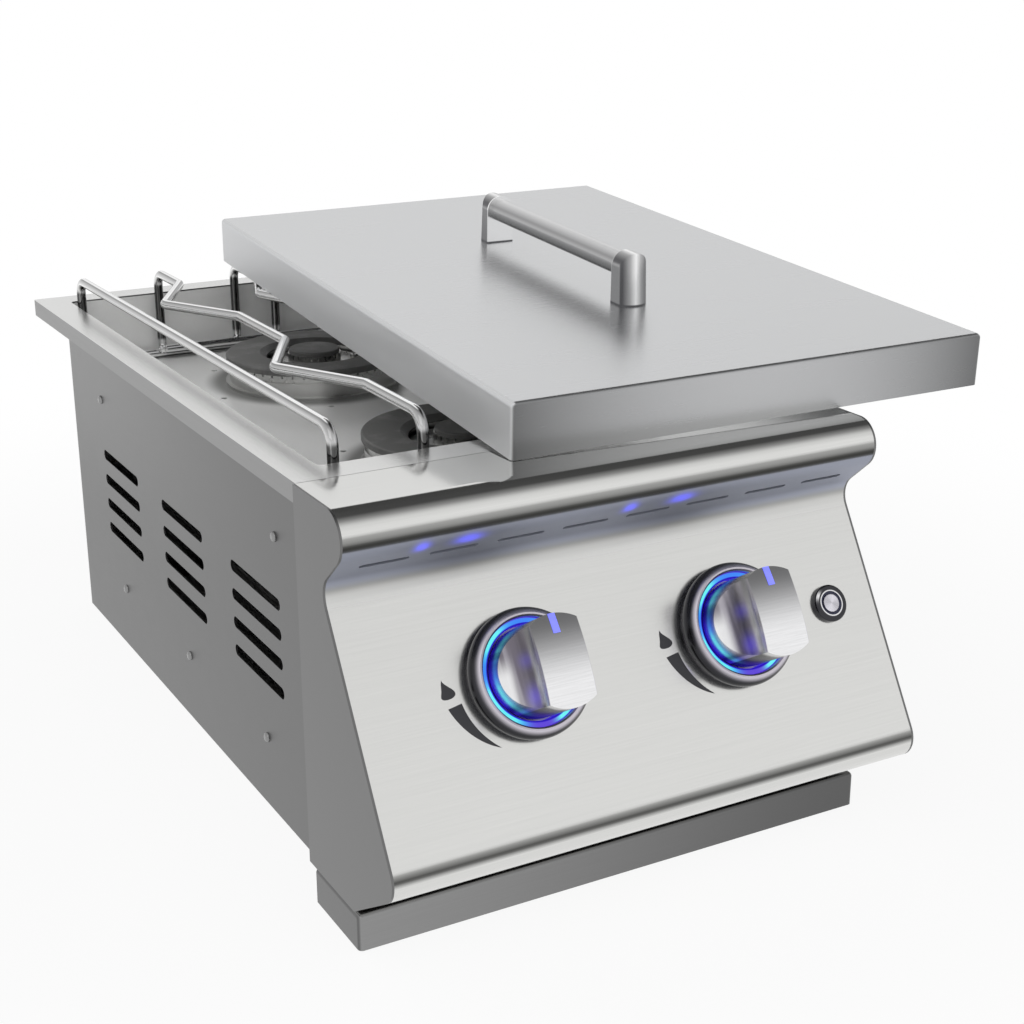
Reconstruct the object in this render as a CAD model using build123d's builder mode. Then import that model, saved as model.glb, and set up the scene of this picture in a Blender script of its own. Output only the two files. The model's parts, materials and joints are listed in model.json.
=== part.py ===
"""Built-in double side burner: a steel housing with a sunken pan, two burners and a lift-off lid.

Millimetres. X to the right, -Y to the front where the knobs are, +Z up.
The origin is the centre of the housing's underside.
"""

import os
from math import acos, cos, hypot, radians, sin, tan

from build123d import *

# Sheet metal
sheet = 1.2
panel_sheet = 1.5
pan_wall = 1.0
seam = 0.5

# Well and housing
well_width = 304
well_depth = 500
pan_depth = 52
pan_corner_r = 4
pan_floor_r = 3
pan_gap = 0.8
front_deck = 23.5
deck_height = 258
flange_overhang = 20
lip_height = 12.6
lip_return = 10
end_cap_lap = 5
panel_overhang = 2

# Control panel profile: distances forward of the deck seam and down from the deck,
# and the sole's height over the housing's underside
nose_corner_out = 90
cove_corner_out = 33
cove_corner_down = 49.2
toe_corner_out = 120
toe_corner_down = 195
sole_corner_out = 63.2
sole_height = 26.5
nose_r = 16
cove_r = 14
toe_r = 15
sole_r = 3

# Slots in the slant above the cove
cove_slot_count = 8
cove_slot_length = 29.6
cove_slot_height = 4
cove_slot_margin = 15.9

# Louvres and screws of the side panels
louvre_columns = 3
louvre_rows = 4
louvre_length = 85
louvre_height = 7.8
louvre_column_pitch = 139.8
louvre_row_pitch = 19.8
louvre_middle_y = 4.5
louvre_middle_z = 122.2
beam_height = 18
beam_offset = 53
lower_screw_z = 50
lower_screw_spacing = 149
screw_r = 1.6
screw_clearance = 0.2
screw_length = 5
screw_head_r = 3.3
screw_head_height = 2.2
screw_dome_r = 2

# Knob row, measured along the slanted face
knob_drop = 70
knob_pitch = 142
switch_offset = 71
bezel_rim_width = 3
bezel_flare = 3.2
bezel_height = 13
bezel_floor = 2
bezel_edge = 1
bezel_waist_height = 6.8
bezel_foot_inset = 2.6
led_ring_width = 3.7
led_ring_gap = 0.3
led_ring_height = 9.5
led_ring_edge = 1
knob_r = 26
knob_gap = 1
knob_base = 8
knob_skirt = 20
knob_height = 50
blade_width = 29
blade_crown = 2.5
blade_lip = 3
scoop_r = 30
pointer_width = 4.2
pointer_length = 11
pointer_proud = 0.4
pointer_depth = 1.2
push_travel = 3

# Gas train
stem_r = 4
stem_clearance = 0.06
stem_socket = 16
stem_reach = 34
panel_hole_r = 7
plug_r = 8
plug_clearance = 0.06
plug_length = 20
plug_depth = 26
valve_width = 28
valve_thick = 30
valve_length = 30
valve_depth = 22
valve_corner_r = 3
valve_neck_r = 9.5
valve_neck_length = 8
manifold_gap = 3.2
manifold_r = 10
manifold_wall = 2
manifold_end_gap = 8.8
inlet_spigot_r = 6
outlet_r = 7
outlet_rise = 20
outlet_length = 32
orifice_r = 4.5
orifice_length = 12
orifice_bore_r = 0.9
supply_r = 6.35
supply_wall = 1
supply_inset = 25.8
fitting_thread_r = 7.94
fitting_thread_length = 14
fitting_hex = 22
fitting_hex_length = 5
hole_gap = 0.5

# Burners
burner_pitch = 252
burner_middle_y = 1.5
base_r = 66
base_foot_lip = 3
base_foot_height = 2
base_height = 12
base_wall = 3
cup_r = 25
cup_depth = 22
cup_wall = 3
outer_head_step = 2
outer_head_inner_r = 40
outer_head_height = 6
outer_ports = 48
outer_cap_overhang = 4
outer_cap_inner_r = 37
outer_cap_height = 4.5
outer_cap_round = 1.5
outer_cap_bevel = 5
outer_cap_lip = 1
inner_head_r = 20.5
inner_head_foot_r = 36.5
inner_head_foot_height = 2
inner_head_height = 9
inner_ports = 24
inner_cap_step = 1
inner_cap_height = 3.5
inner_cap_round = 1.2
port_width = 1.3
port_depth = 2.5
port_height = 3
feed_r = 12.5
feed_wall = 1.2
feed_bend_r = 24
feed_start_gap = 2
electrode_r = 2.8
electrode_offset = 6
electrode_angle = -35
electrode_wire_r = 0.9
electrode_wire_height = 4
electrode_gap = 0.3
electrode_rise = 6
electrode_drop = 18
vent_hole_r = 2.5
vent_ring_r = 86
vent_count = 6
vent_start_angle = 15

# Drip tray
tray_clearance = 0.6
tray_front_depth = 60
tray_sole_gap = 3.2
tray_front_setback = 4.5
tray_front_r = 3
tray_side_gap = 4.8
tray_rear_gap = 28.4
tray_head_gap = 2.3
tray_flange = 9
rail_foot = 10
rail_gap = 0.3
rail_edge = 7

# Cooking grate
rod_r = 3.5
grate_rise = 18
grate_leg_inset = 5
rail_rod_inset = 7
rail_toe_in = 6
outer_rod_x = 82
outer_kink = 34
inner_rod_x = 17.5
inner_kink = 23.5
kink_half_length = 66
kink_pitch = 218
kink_middle_y = 22.5
rod_bend_r = 12
kink_bend_r = 8
grate_seat_gap = 0.3
tie_rod_rise = 4
tie_rod_sink = 0.8
tie_rod_short = 1

# Lid, lying askew on the grate and on the control panel's top
lid_width = 335
lid_depth = 517
lid_height = 34
lid_r = 3
lid_x = 123
lid_y = -35.7
lid_yaw = -2.26
lid_side_slope = 0.01
lid_gap = 0.3
handle_length = 217
handle_width = 21
handle_height = 35
post_depth = 15
post_flat = 9
post_flare = 2.5
bar_inset = 2.3
bar_wall = 1.5
post_screw_r = 2.5
post_screw_gap = 0.1
post_screw_length = 14
post_screw_head_r = 4.5
post_screw_head_height = 3

# Ignition
module_width = 50
module_depth = 22
module_height = 50
module_side_gap = 6.8
module_corner_r = 3
module_edge_r = 2
lead_r = 1.6
lead_bend_r = 14
lead_rise = 6
lead_drop = 20
lead_spacing = 20
switch_bezel_r = 11.5
switch_bezel_height = 3.6
switch_bezel_round = 1.4
switch_body_r = 8.6
switch_body_length = 30
switch_ring_r = 7.4
switch_ring_recess = 0.9
switch_button_r = 5.6
switch_gap = 0.25
switch_travel = 2
switch_button_proud = 0.2
switch_button_length = 9
switch_button_round = 0.6

# Places worked out from the sizes above
body_half = well_width / 2 + pan_wall + pan_gap + sheet
body_depth = front_deck + well_depth + pan_wall + pan_gap + sheet
seam_y = -body_depth / 2
body_rear_y = body_depth / 2
flange_half = body_half + flange_overhang
panel_half = flange_half + panel_overhang
flange_rear_y = body_rear_y + flange_overhang
well_front_y = seam_y + front_deck
well_middle_y = well_front_y + well_depth / 2
deck_under_z = deck_height - sheet
pan_floor_z = deck_height - pan_depth
inner_half = body_half - sheet

nose_corner = (seam_y - nose_corner_out, deck_height)
cove_corner = (seam_y - cove_corner_out, deck_height - cove_corner_down)
toe_corner = (seam_y - toe_corner_out, deck_height - toe_corner_down)
sole_corner = (seam_y - sole_corner_out, sole_height)
face_length = hypot(cove_corner_out - toe_corner_out, toe_corner_down - cove_corner_down)
face_down_y = (toe_corner[0] - cove_corner[0]) / face_length
face_down_z = (toe_corner[1] - cove_corner[1]) / face_length
face_out = (0, face_down_z, -face_down_y)

knob_y = cove_corner[0] + knob_drop * face_down_y
knob_z = cove_corner[1] + knob_drop * face_down_z
switch_x = knob_pitch / 2 + switch_offset
led_ring_inner_r = knob_r + knob_gap
bezel_mouth_r = led_ring_inner_r + led_ring_width + led_ring_gap
bezel_rim_r = bezel_mouth_r + bezel_rim_width
bezel_bulge_r = bezel_rim_r + bezel_flare

firewall_y = seam_y + panel_sheet
manifold_y = firewall_y - manifold_gap - manifold_r
manifold_depth = (knob_y - manifold_y) / face_out[1]
manifold_z = knob_z - manifold_depth * face_out[2]
manifold_length = 2 * (inner_half - manifold_end_gap)
supply_x = supply_inset - inner_half
outlet_z = manifold_z + manifold_r + outlet_rise

burner_ys = {"front": burner_middle_y - burner_pitch / 2, "rear": burner_middle_y + burner_pitch / 2}
base_top_z = pan_floor_z + base_height
outer_head_r = base_r - outer_head_step
outer_cap_r = outer_head_r + outer_cap_overhang
inner_cap_r = inner_head_r - inner_cap_step
electrode_ring_r = cup_r + electrode_offset
outer_head_top_z = base_top_z + outer_head_height
cup_floor_z = pan_floor_z - pan_wall - cup_depth
electrode_x = electrode_ring_r * cos(radians(electrode_angle))
electrode_dy = electrode_ring_r * sin(radians(electrode_angle))
electrode_low_z = pan_floor_z - electrode_drop
lead_z = electrode_low_z - lead_drop
module_z = lead_z - lead_rise
module_x = inner_half - module_side_gap - module_width / 2
upper_screw_z = pan_floor_z - pan_wall - beam_height / 2
upper_screw_spacing = burner_pitch + 2 * beam_offset

tray_front_z = tray_clearance
tray_front_height = sole_height - tray_sole_gap - tray_front_z
tray_front_rear_y = seam_y - tray_front_setback
tray_pan_z = tray_front_z + sheet
tray_pan_height = tray_front_height - 2 * sheet - tray_head_gap
tray_pan_width = 2 * (inner_half - tray_side_gap - tray_flange)
tray_pan_front_y = tray_front_rear_y - tray_front_depth + sheet + seam
tray_pan_depth = body_rear_y - sheet - tray_rear_gap - tray_pan_front_y
rail_z = tray_pan_z + tray_pan_height - sheet - rail_gap - sheet
rail_height = lower_screw_z + rail_edge - rail_z

grate_z = deck_height + grate_rise
leg_front_y = well_front_y + grate_leg_inset + rod_r
leg_rear_y = well_front_y + well_depth - grate_leg_inset - rod_r
foot_z = pan_floor_z + rod_r + grate_seat_gap
kink_rear_y = kink_middle_y + kink_pitch / 2
rail_rod_x = well_width / 2 - rail_rod_inset
rail_front_x = rail_rod_x - rail_toe_in

# The lid's front edge lies on the control panel, and its left edge on the grate where that edge
# crosses the rear kink of the inner rod, a share of the kink's half length from its peak
yaw = radians(lid_yaw)
peak_dx = -inner_rod_x - inner_kink - lid_x
peak_dy = kink_rear_y - lid_y
peak_across = peak_dx * cos(yaw) + peak_dy * sin(yaw)
kink_across = inner_kink * cos(yaw) - kink_half_length * sin(yaw)
rest_share = (-lid_width / 2 - peak_across) / kink_across
seat_dx = peak_dx + rest_share * inner_kink
seat_dy = peak_dy - rest_share * kink_half_length
seat_along = seat_dy * cos(yaw) - seat_dx * sin(yaw)
lid_slope = (grate_rise + rod_r) / (seat_along + lid_depth / 2)
lid_z = deck_height + lid_gap + lid_side_slope * lid_width / 2 + lid_slope * lid_depth / 2
lid_across = Vector(cos(yaw), sin(yaw), lid_side_slope)
lid_along = Vector(-sin(yaw), cos(yaw), lid_slope)
lid_plane = Plane(origin=(lid_x, lid_y, lid_z), x_dir=lid_across, z_dir=lid_across.cross(lid_along))
post_middle = handle_length / 2 - post_depth + post_flat / 2


def save(piece, name):
    """Label a finished piece and write it under its own name."""
    piece.part.label = name
    export_step(piece.part, f"parts/{name}.step")


def face_plane(x):
    """Plane on the outside of the slanted face at the knob row, Z outwards and Y up the face."""
    return Plane(origin=(x, knob_y, knob_z), x_dir=(1, 0, 0), z_dir=face_out)


os.makedirs("parts", exist_ok=True)

# Side panels with louvres and screw holes
for side, sign in (("left", -1), ("right", 1)):
    side_plane = Plane(origin=(sign * body_half, 0, 0), x_dir=(0, 1, 0), z_dir=(1, 0, 0))
    with BuildPart() as side_panel:
        with BuildSketch(side_plane):
            panel_middle = ((firewall_y + body_rear_y - sheet) / 2, deck_under_z / 2)
            with Locations(panel_middle):
                Rectangle(body_rear_y - sheet - firewall_y, deck_under_z)
            with Locations((louvre_middle_y, louvre_middle_z)):
                with GridLocations(louvre_column_pitch, louvre_row_pitch, louvre_columns, louvre_rows):
                    SlotOverall(louvre_length, louvre_height, mode=Mode.SUBTRACT)
            with Locations((louvre_middle_y, upper_screw_z)):
                with GridLocations(upper_screw_spacing, 1, 2, 1):
                    Circle(screw_r + screw_clearance, mode=Mode.SUBTRACT)
            with Locations((louvre_middle_y, lower_screw_z)):
                with GridLocations(lower_screw_spacing, 1, 3, 1):
                    Circle(screw_r + screw_clearance, mode=Mode.SUBTRACT)
        extrude(amount=-sign * sheet)
    save(side_panel, f"{side}_side_panel")

# Rear panel with the hole of the gas inlet
with BuildPart() as rear_panel:
    with BuildSketch(Plane.XZ.offset(-body_rear_y)):
        with Locations((0, deck_under_z / 2)):
            Rectangle(2 * body_half, deck_under_z)
        with Locations((supply_x, manifold_z)):
            Circle(supply_r + hole_gap, mode=Mode.SUBTRACT)
    extrude(amount=sheet)
save(rear_panel, "rear_panel")

# Floor panel
with BuildPart() as floor_panel:
    with BuildSketch():
        with Locations((0, (firewall_y + body_rear_y - sheet) / 2)):
            Rectangle(2 * inner_half, body_rear_y - sheet - firewall_y)
    extrude(amount=sheet)
save(floor_panel, "floor_panel")

# Firewall between control box and burner box, clear of the tray below
firewall_low_z = sole_height
with BuildPart() as firewall:
    with BuildSketch(Plane.XZ.offset(-firewall_y)):
        with Locations((0, (firewall_low_z + deck_under_z) / 2)):
            Rectangle(2 * inner_half, deck_under_z - firewall_low_z)
        with Locations((-knob_pitch / 2, outlet_z), (knob_pitch / 2, outlet_z)):
            Circle(orifice_r + 2 * hole_gap, mode=Mode.SUBTRACT)
        with Locations((supply_x, manifold_z)):
            Circle(supply_r + hole_gap, mode=Mode.SUBTRACT)
        with Locations((module_x, lead_z)):
            with GridLocations(lead_spacing, 1, 2, 1):
                Circle(lead_r + hole_gap, mode=Mode.SUBTRACT)
    extrude(amount=-sheet)
save(firewall, "firewall")

# Top frame: deck plate, down-turned lip on three sides and its inward return
with BuildPart() as top_frame:
    deck_middle_y = (seam_y + flange_rear_y) / 2
    deck_long = flange_rear_y - seam_y
    with BuildSketch(Plane.XY.offset(deck_under_z)):
        with Locations((0, deck_middle_y)):
            Rectangle(2 * flange_half, deck_long)
        with Locations((0, well_middle_y)):
            RectangleRounded(well_width, well_depth, pan_corner_r, mode=Mode.SUBTRACT)
    extrude(amount=sheet)
    with BuildSketch(Plane.XY.offset(deck_height - lip_height)):
        with Locations((0, deck_middle_y)):
            Rectangle(2 * flange_half, deck_long)
        with Locations((0, deck_middle_y - sheet)):
            Rectangle(2 * (flange_half - sheet), deck_long, mode=Mode.SUBTRACT)
    extrude(amount=lip_height - sheet)
    with BuildSketch(Plane.XY.offset(deck_height - lip_height)):
        with Locations((0, deck_middle_y)):
            Rectangle(2 * flange_half, deck_long)
        with Locations((0, deck_middle_y - lip_return)):
            Rectangle(2 * (flange_half - lip_return), deck_long, mode=Mode.SUBTRACT)
        with Locations((0, seam_y)):
            Rectangle(2 * flange_half, 2 * (panel_sheet + seam), mode=Mode.SUBTRACT)
    extrude(amount=sheet)
    outer_edges = top_frame.edges().filter_by(Axis.Z).group_by(Axis.Y)[-1]
    fillet(outer_edges.group_by(Axis.X)[0] + outer_edges.group_by(Axis.X)[-1], sheet)
    rim = top_frame.faces().sort_by(Axis.Z)[-1].outer_wire().edges()
    fillet(rim.sort_by(Axis.Y)[1:], sheet / 2)
save(top_frame, "top_frame")

# Burner pan with its burner openings, vents and electrode holes
with BuildPart() as burner_pan:
    with BuildSketch(Plane.XY.offset(pan_floor_z - pan_wall)):
        with Locations((0, well_middle_y)):
            RectangleRounded(well_width + 2 * pan_wall, well_depth + 2 * pan_wall, pan_corner_r + pan_wall)
    extrude(amount=deck_under_z - pan_floor_z + pan_wall)
    fillet(burner_pan.faces().sort_by(Axis.Z)[0].edges(), pan_floor_r + pan_wall)
    offset(amount=-pan_wall, openings=burner_pan.faces().sort_by(Axis.Z)[-1])
    for burner_y in burner_ys.values():
        with BuildSketch(Plane.XY.offset(pan_floor_z)):
            with Locations((0, burner_y)):
                Circle(cup_r + hole_gap)
                with PolarLocations(vent_ring_r, vent_count, start_angle=vent_start_angle):
                    Circle(vent_hole_r)
            with Locations((electrode_x, burner_y + electrode_dy)):
                Circle(electrode_r + electrode_gap)
        extrude(amount=-2 * pan_wall, mode=Mode.SUBTRACT)
save(burner_pan, "burner_pan")

# Beams that carry the pan, screwed to the sides
with BuildPart() as pan_beams:
    for beam_sign in (-1, 1):
        beam_y = louvre_middle_y + beam_sign * upper_screw_spacing / 2
        with BuildSketch(Plane.YZ.offset(-inner_half)):
            with Locations((beam_y, upper_screw_z)):
                Rectangle(beam_height, beam_height)
            with Locations((beam_y, upper_screw_z - sheet)):
                Rectangle(beam_height - 2 * sheet, beam_height, mode=Mode.SUBTRACT)
        extrude(amount=2 * inner_half)
save(pan_beams, "pan_beams")

# Control panel: one folded sheet
profile_points = [(seam_y - seam, deck_height), nose_corner, cove_corner, toe_corner, sole_corner]
profile_points.append((seam_y - seam, sole_height))
with BuildPart() as control_panel:
    with BuildSketch(Plane.YZ.offset(-panel_half + panel_sheet)):
        with BuildLine():
            FilletPolyline(*profile_points, radius=[nose_r, cove_r, toe_r, sole_r])
            offset(amount=panel_sheet, side=Side.LEFT)
        make_face()
    extrude(amount=2 * (panel_half - panel_sheet))
    slant_length = hypot(nose_corner_out - cove_corner_out, cove_corner_down)
    slant_y = (cove_corner[0] - nose_corner[0]) / slant_length
    slant_z = (cove_corner[1] - nose_corner[1]) / slant_length
    nose_tangent = nose_r * tan(acos(-slant_y) / 2)
    cove_turn = acos(slant_y * face_down_y + slant_z * face_down_z)
    cove_tangent = cove_r * tan(cove_turn / 2)
    slot_along = (nose_tangent + slant_length - cove_tangent) / 2
    slot_middle = (0, nose_corner[0] + slot_along * slant_y, nose_corner[1] + slot_along * slant_z)
    slot_plane = Plane(origin=slot_middle, x_dir=(1, 0, 0), z_dir=(0, slant_z, -slant_y))
    slot_run = 2 * (panel_half - cove_slot_margin) - cove_slot_length
    with BuildSketch(slot_plane):
        with GridLocations(slot_run / (cove_slot_count - 1), 1, cove_slot_count, 1):
            SlotOverall(cove_slot_length, cove_slot_height)
    extrude(amount=2 * panel_sheet, both=True, mode=Mode.SUBTRACT)
    with BuildSketch(face_plane(0)):
        with Locations((-knob_pitch / 2, 0), (knob_pitch / 2, 0)):
            Circle(panel_hole_r)
        with Locations((switch_x, 0)):
            Circle(switch_body_r + hole_gap)
    extrude(amount=2 * panel_sheet, both=True, mode=Mode.SUBTRACT)
save(control_panel, "control_panel")

# End caps: plates of the panel's profile with a return that meets the side panel
for side, sign in (("left", -1), ("right", 1)):
    with BuildPart() as end_cap:
        with BuildSketch(Plane.YZ.offset(sign * (panel_half - panel_sheet))):
            with BuildLine():
                FilletPolyline(*profile_points, radius=[nose_r, cove_r, toe_r, sole_r])
                Line(profile_points[-1], profile_points[0])
            make_face()
        extrude(amount=sign * panel_sheet)
        with BuildSketch(Plane.XZ.offset(-firewall_y)):
            return_low = sole_height
            return_outer = flange_half - panel_sheet
            return_middle = (inner_half + return_outer) / 2
            with Locations((sign * return_middle, (return_low + deck_under_z) / 2)):
                Rectangle(return_outer - inner_half, deck_under_z - return_low)
        extrude(amount=panel_sheet)
        with BuildSketch(Plane.XZ.offset(-firewall_y)):
            with Locations((sign * (return_outer - panel_sheet / 2), (return_low + deck_under_z) / 2)):
                Rectangle(panel_sheet, deck_under_z - return_low - 2 * panel_sheet)
        extrude(amount=panel_sheet + end_cap_lap)
        with BuildSketch(Plane.XZ.offset(panel_sheet + end_cap_lap / 2 - firewall_y)):
            with Locations((sign * (return_outer + panel_overhang / 2), (return_low + deck_under_z) / 2)):
                Rectangle(panel_overhang, deck_under_z - return_low - 2 * panel_sheet)
        extrude(amount=end_cap_lap / 2)
    save(end_cap, f"{side}_end_cap")

# Screws of the sides: dome head outside, shank through the sheet
with BuildPart() as housing_screws:
    for sign in (-1, 1):
        screw_spots = [(louvre_middle_y + k * upper_screw_spacing / 2, upper_screw_z) for k in (-1, 1)]
        screw_spots += [(louvre_middle_y + k * lower_screw_spacing, lower_screw_z) for k in (-1, 0, 1)]
        for screw_y, screw_z in screw_spots:
            screw_foot = (sign * body_half, screw_y, screw_z)
            screw_plane = Plane(origin=screw_foot, x_dir=(0, 1, 0), z_dir=(sign, 0, 0))
            with BuildSketch(screw_plane):
                Circle(screw_r)
            extrude(amount=-screw_length)
            with BuildSketch(screw_plane):
                Circle(screw_head_r)
            head = extrude(amount=screw_head_height)
            rims = head.edges().filter_by(GeomType.CIRCLE).sort_by(Axis.X)
            fillet(rims[-1 if sign > 0 else 0], screw_dome_r)
save(housing_screws, "housing_screws")

# Tray rails: angles on the inside of the sides
for side, sign in (("left", -1), ("right", 1)):
    rail_front_y = firewall_y + sheet
    rail_plane = Plane(origin=(0, rail_front_y, 0), x_dir=(1, 0, 0), z_dir=(0, -1, 0))
    with BuildPart() as tray_rail:
        with BuildSketch(rail_plane):
            with Locations((sign * (inner_half - rail_foot / 2), rail_z + sheet / 2)):
                Rectangle(rail_foot, sheet)
            with Locations((sign * (inner_half - sheet / 2), rail_z + rail_height / 2)):
                Rectangle(sheet, rail_height)
        extrude(amount=-(body_rear_y - sheet - rail_front_y))
        with BuildSketch(Plane.YZ.offset(sign * inner_half)):
            with Locations((louvre_middle_y, lower_screw_z)):
                with GridLocations(lower_screw_spacing, 1, 3, 1):
                    Circle(screw_r + screw_clearance)
        extrude(amount=-sign * 2 * sheet, mode=Mode.SUBTRACT)
    save(tray_rail, f"{side}_tray_rail")

# Gas manifold: a closed tube along X with the sockets of the valves and of the supply pipe
with BuildPart() as gas_manifold:
    with BuildSketch(Plane.YZ.offset(-manifold_length / 2)):
        with Locations((manifold_y, manifold_z)):
            Circle(manifold_r)
    extrude(amount=manifold_length)
    with BuildSketch(Plane.YZ.offset(-manifold_length / 2 + manifold_wall)):
        with Locations((manifold_y, manifold_z)):
            Circle(manifold_r - manifold_wall)
    extrude(amount=manifold_length - 2 * manifold_wall, mode=Mode.SUBTRACT)
    with BuildSketch(face_plane(0).offset(-manifold_depth)):
        with Locations((-knob_pitch / 2, 0), (knob_pitch / 2, 0)):
            Circle(inlet_spigot_r)
    extrude(amount=2 * manifold_r, mode=Mode.SUBTRACT)
    with BuildSketch(Plane.XZ.offset(-manifold_y)):
        with Locations((supply_x, manifold_z)):
            Circle(supply_r)
    extrude(amount=-2 * manifold_r, mode=Mode.SUBTRACT)
save(gas_manifold, "gas_manifold")

# Supply pipe from the manifold to the rear panel
with BuildPart() as gas_supply_pipe:
    with BuildSketch(Plane.XZ.offset(-(manifold_y + manifold_r - manifold_wall))):
        with Locations((supply_x, manifold_z)):
            Circle(supply_r)
            Circle(supply_r - supply_wall, mode=Mode.SUBTRACT)
    extrude(amount=-(body_rear_y - manifold_y - manifold_r + manifold_wall))
save(gas_supply_pipe, "gas_supply_pipe")

# Inlet fitting: hex against the rear panel and a male flare thread
with BuildPart() as gas_inlet_fitting:
    with BuildSketch(Plane.XZ.offset(-body_rear_y)):
        with Locations((supply_x, manifold_z)):
            RegularPolygon(fitting_hex / 2, 6, major_radius=False)
    extrude(amount=-fitting_hex_length)
    with BuildSketch(Plane.XZ.offset(-body_rear_y - fitting_hex_length)):
        with Locations((supply_x, manifold_z)):
            Circle(fitting_thread_r)
    extrude(amount=-fitting_thread_length)
    with BuildSketch(Plane.XZ.offset(-body_rear_y)):
        with Locations((supply_x, manifold_z)):
            Circle(supply_r - supply_wall)
    extrude(amount=-(fitting_hex_length + fitting_thread_length), mode=Mode.SUBTRACT)
save(gas_inlet_fitting, "gas_inlet_fitting")

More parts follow.
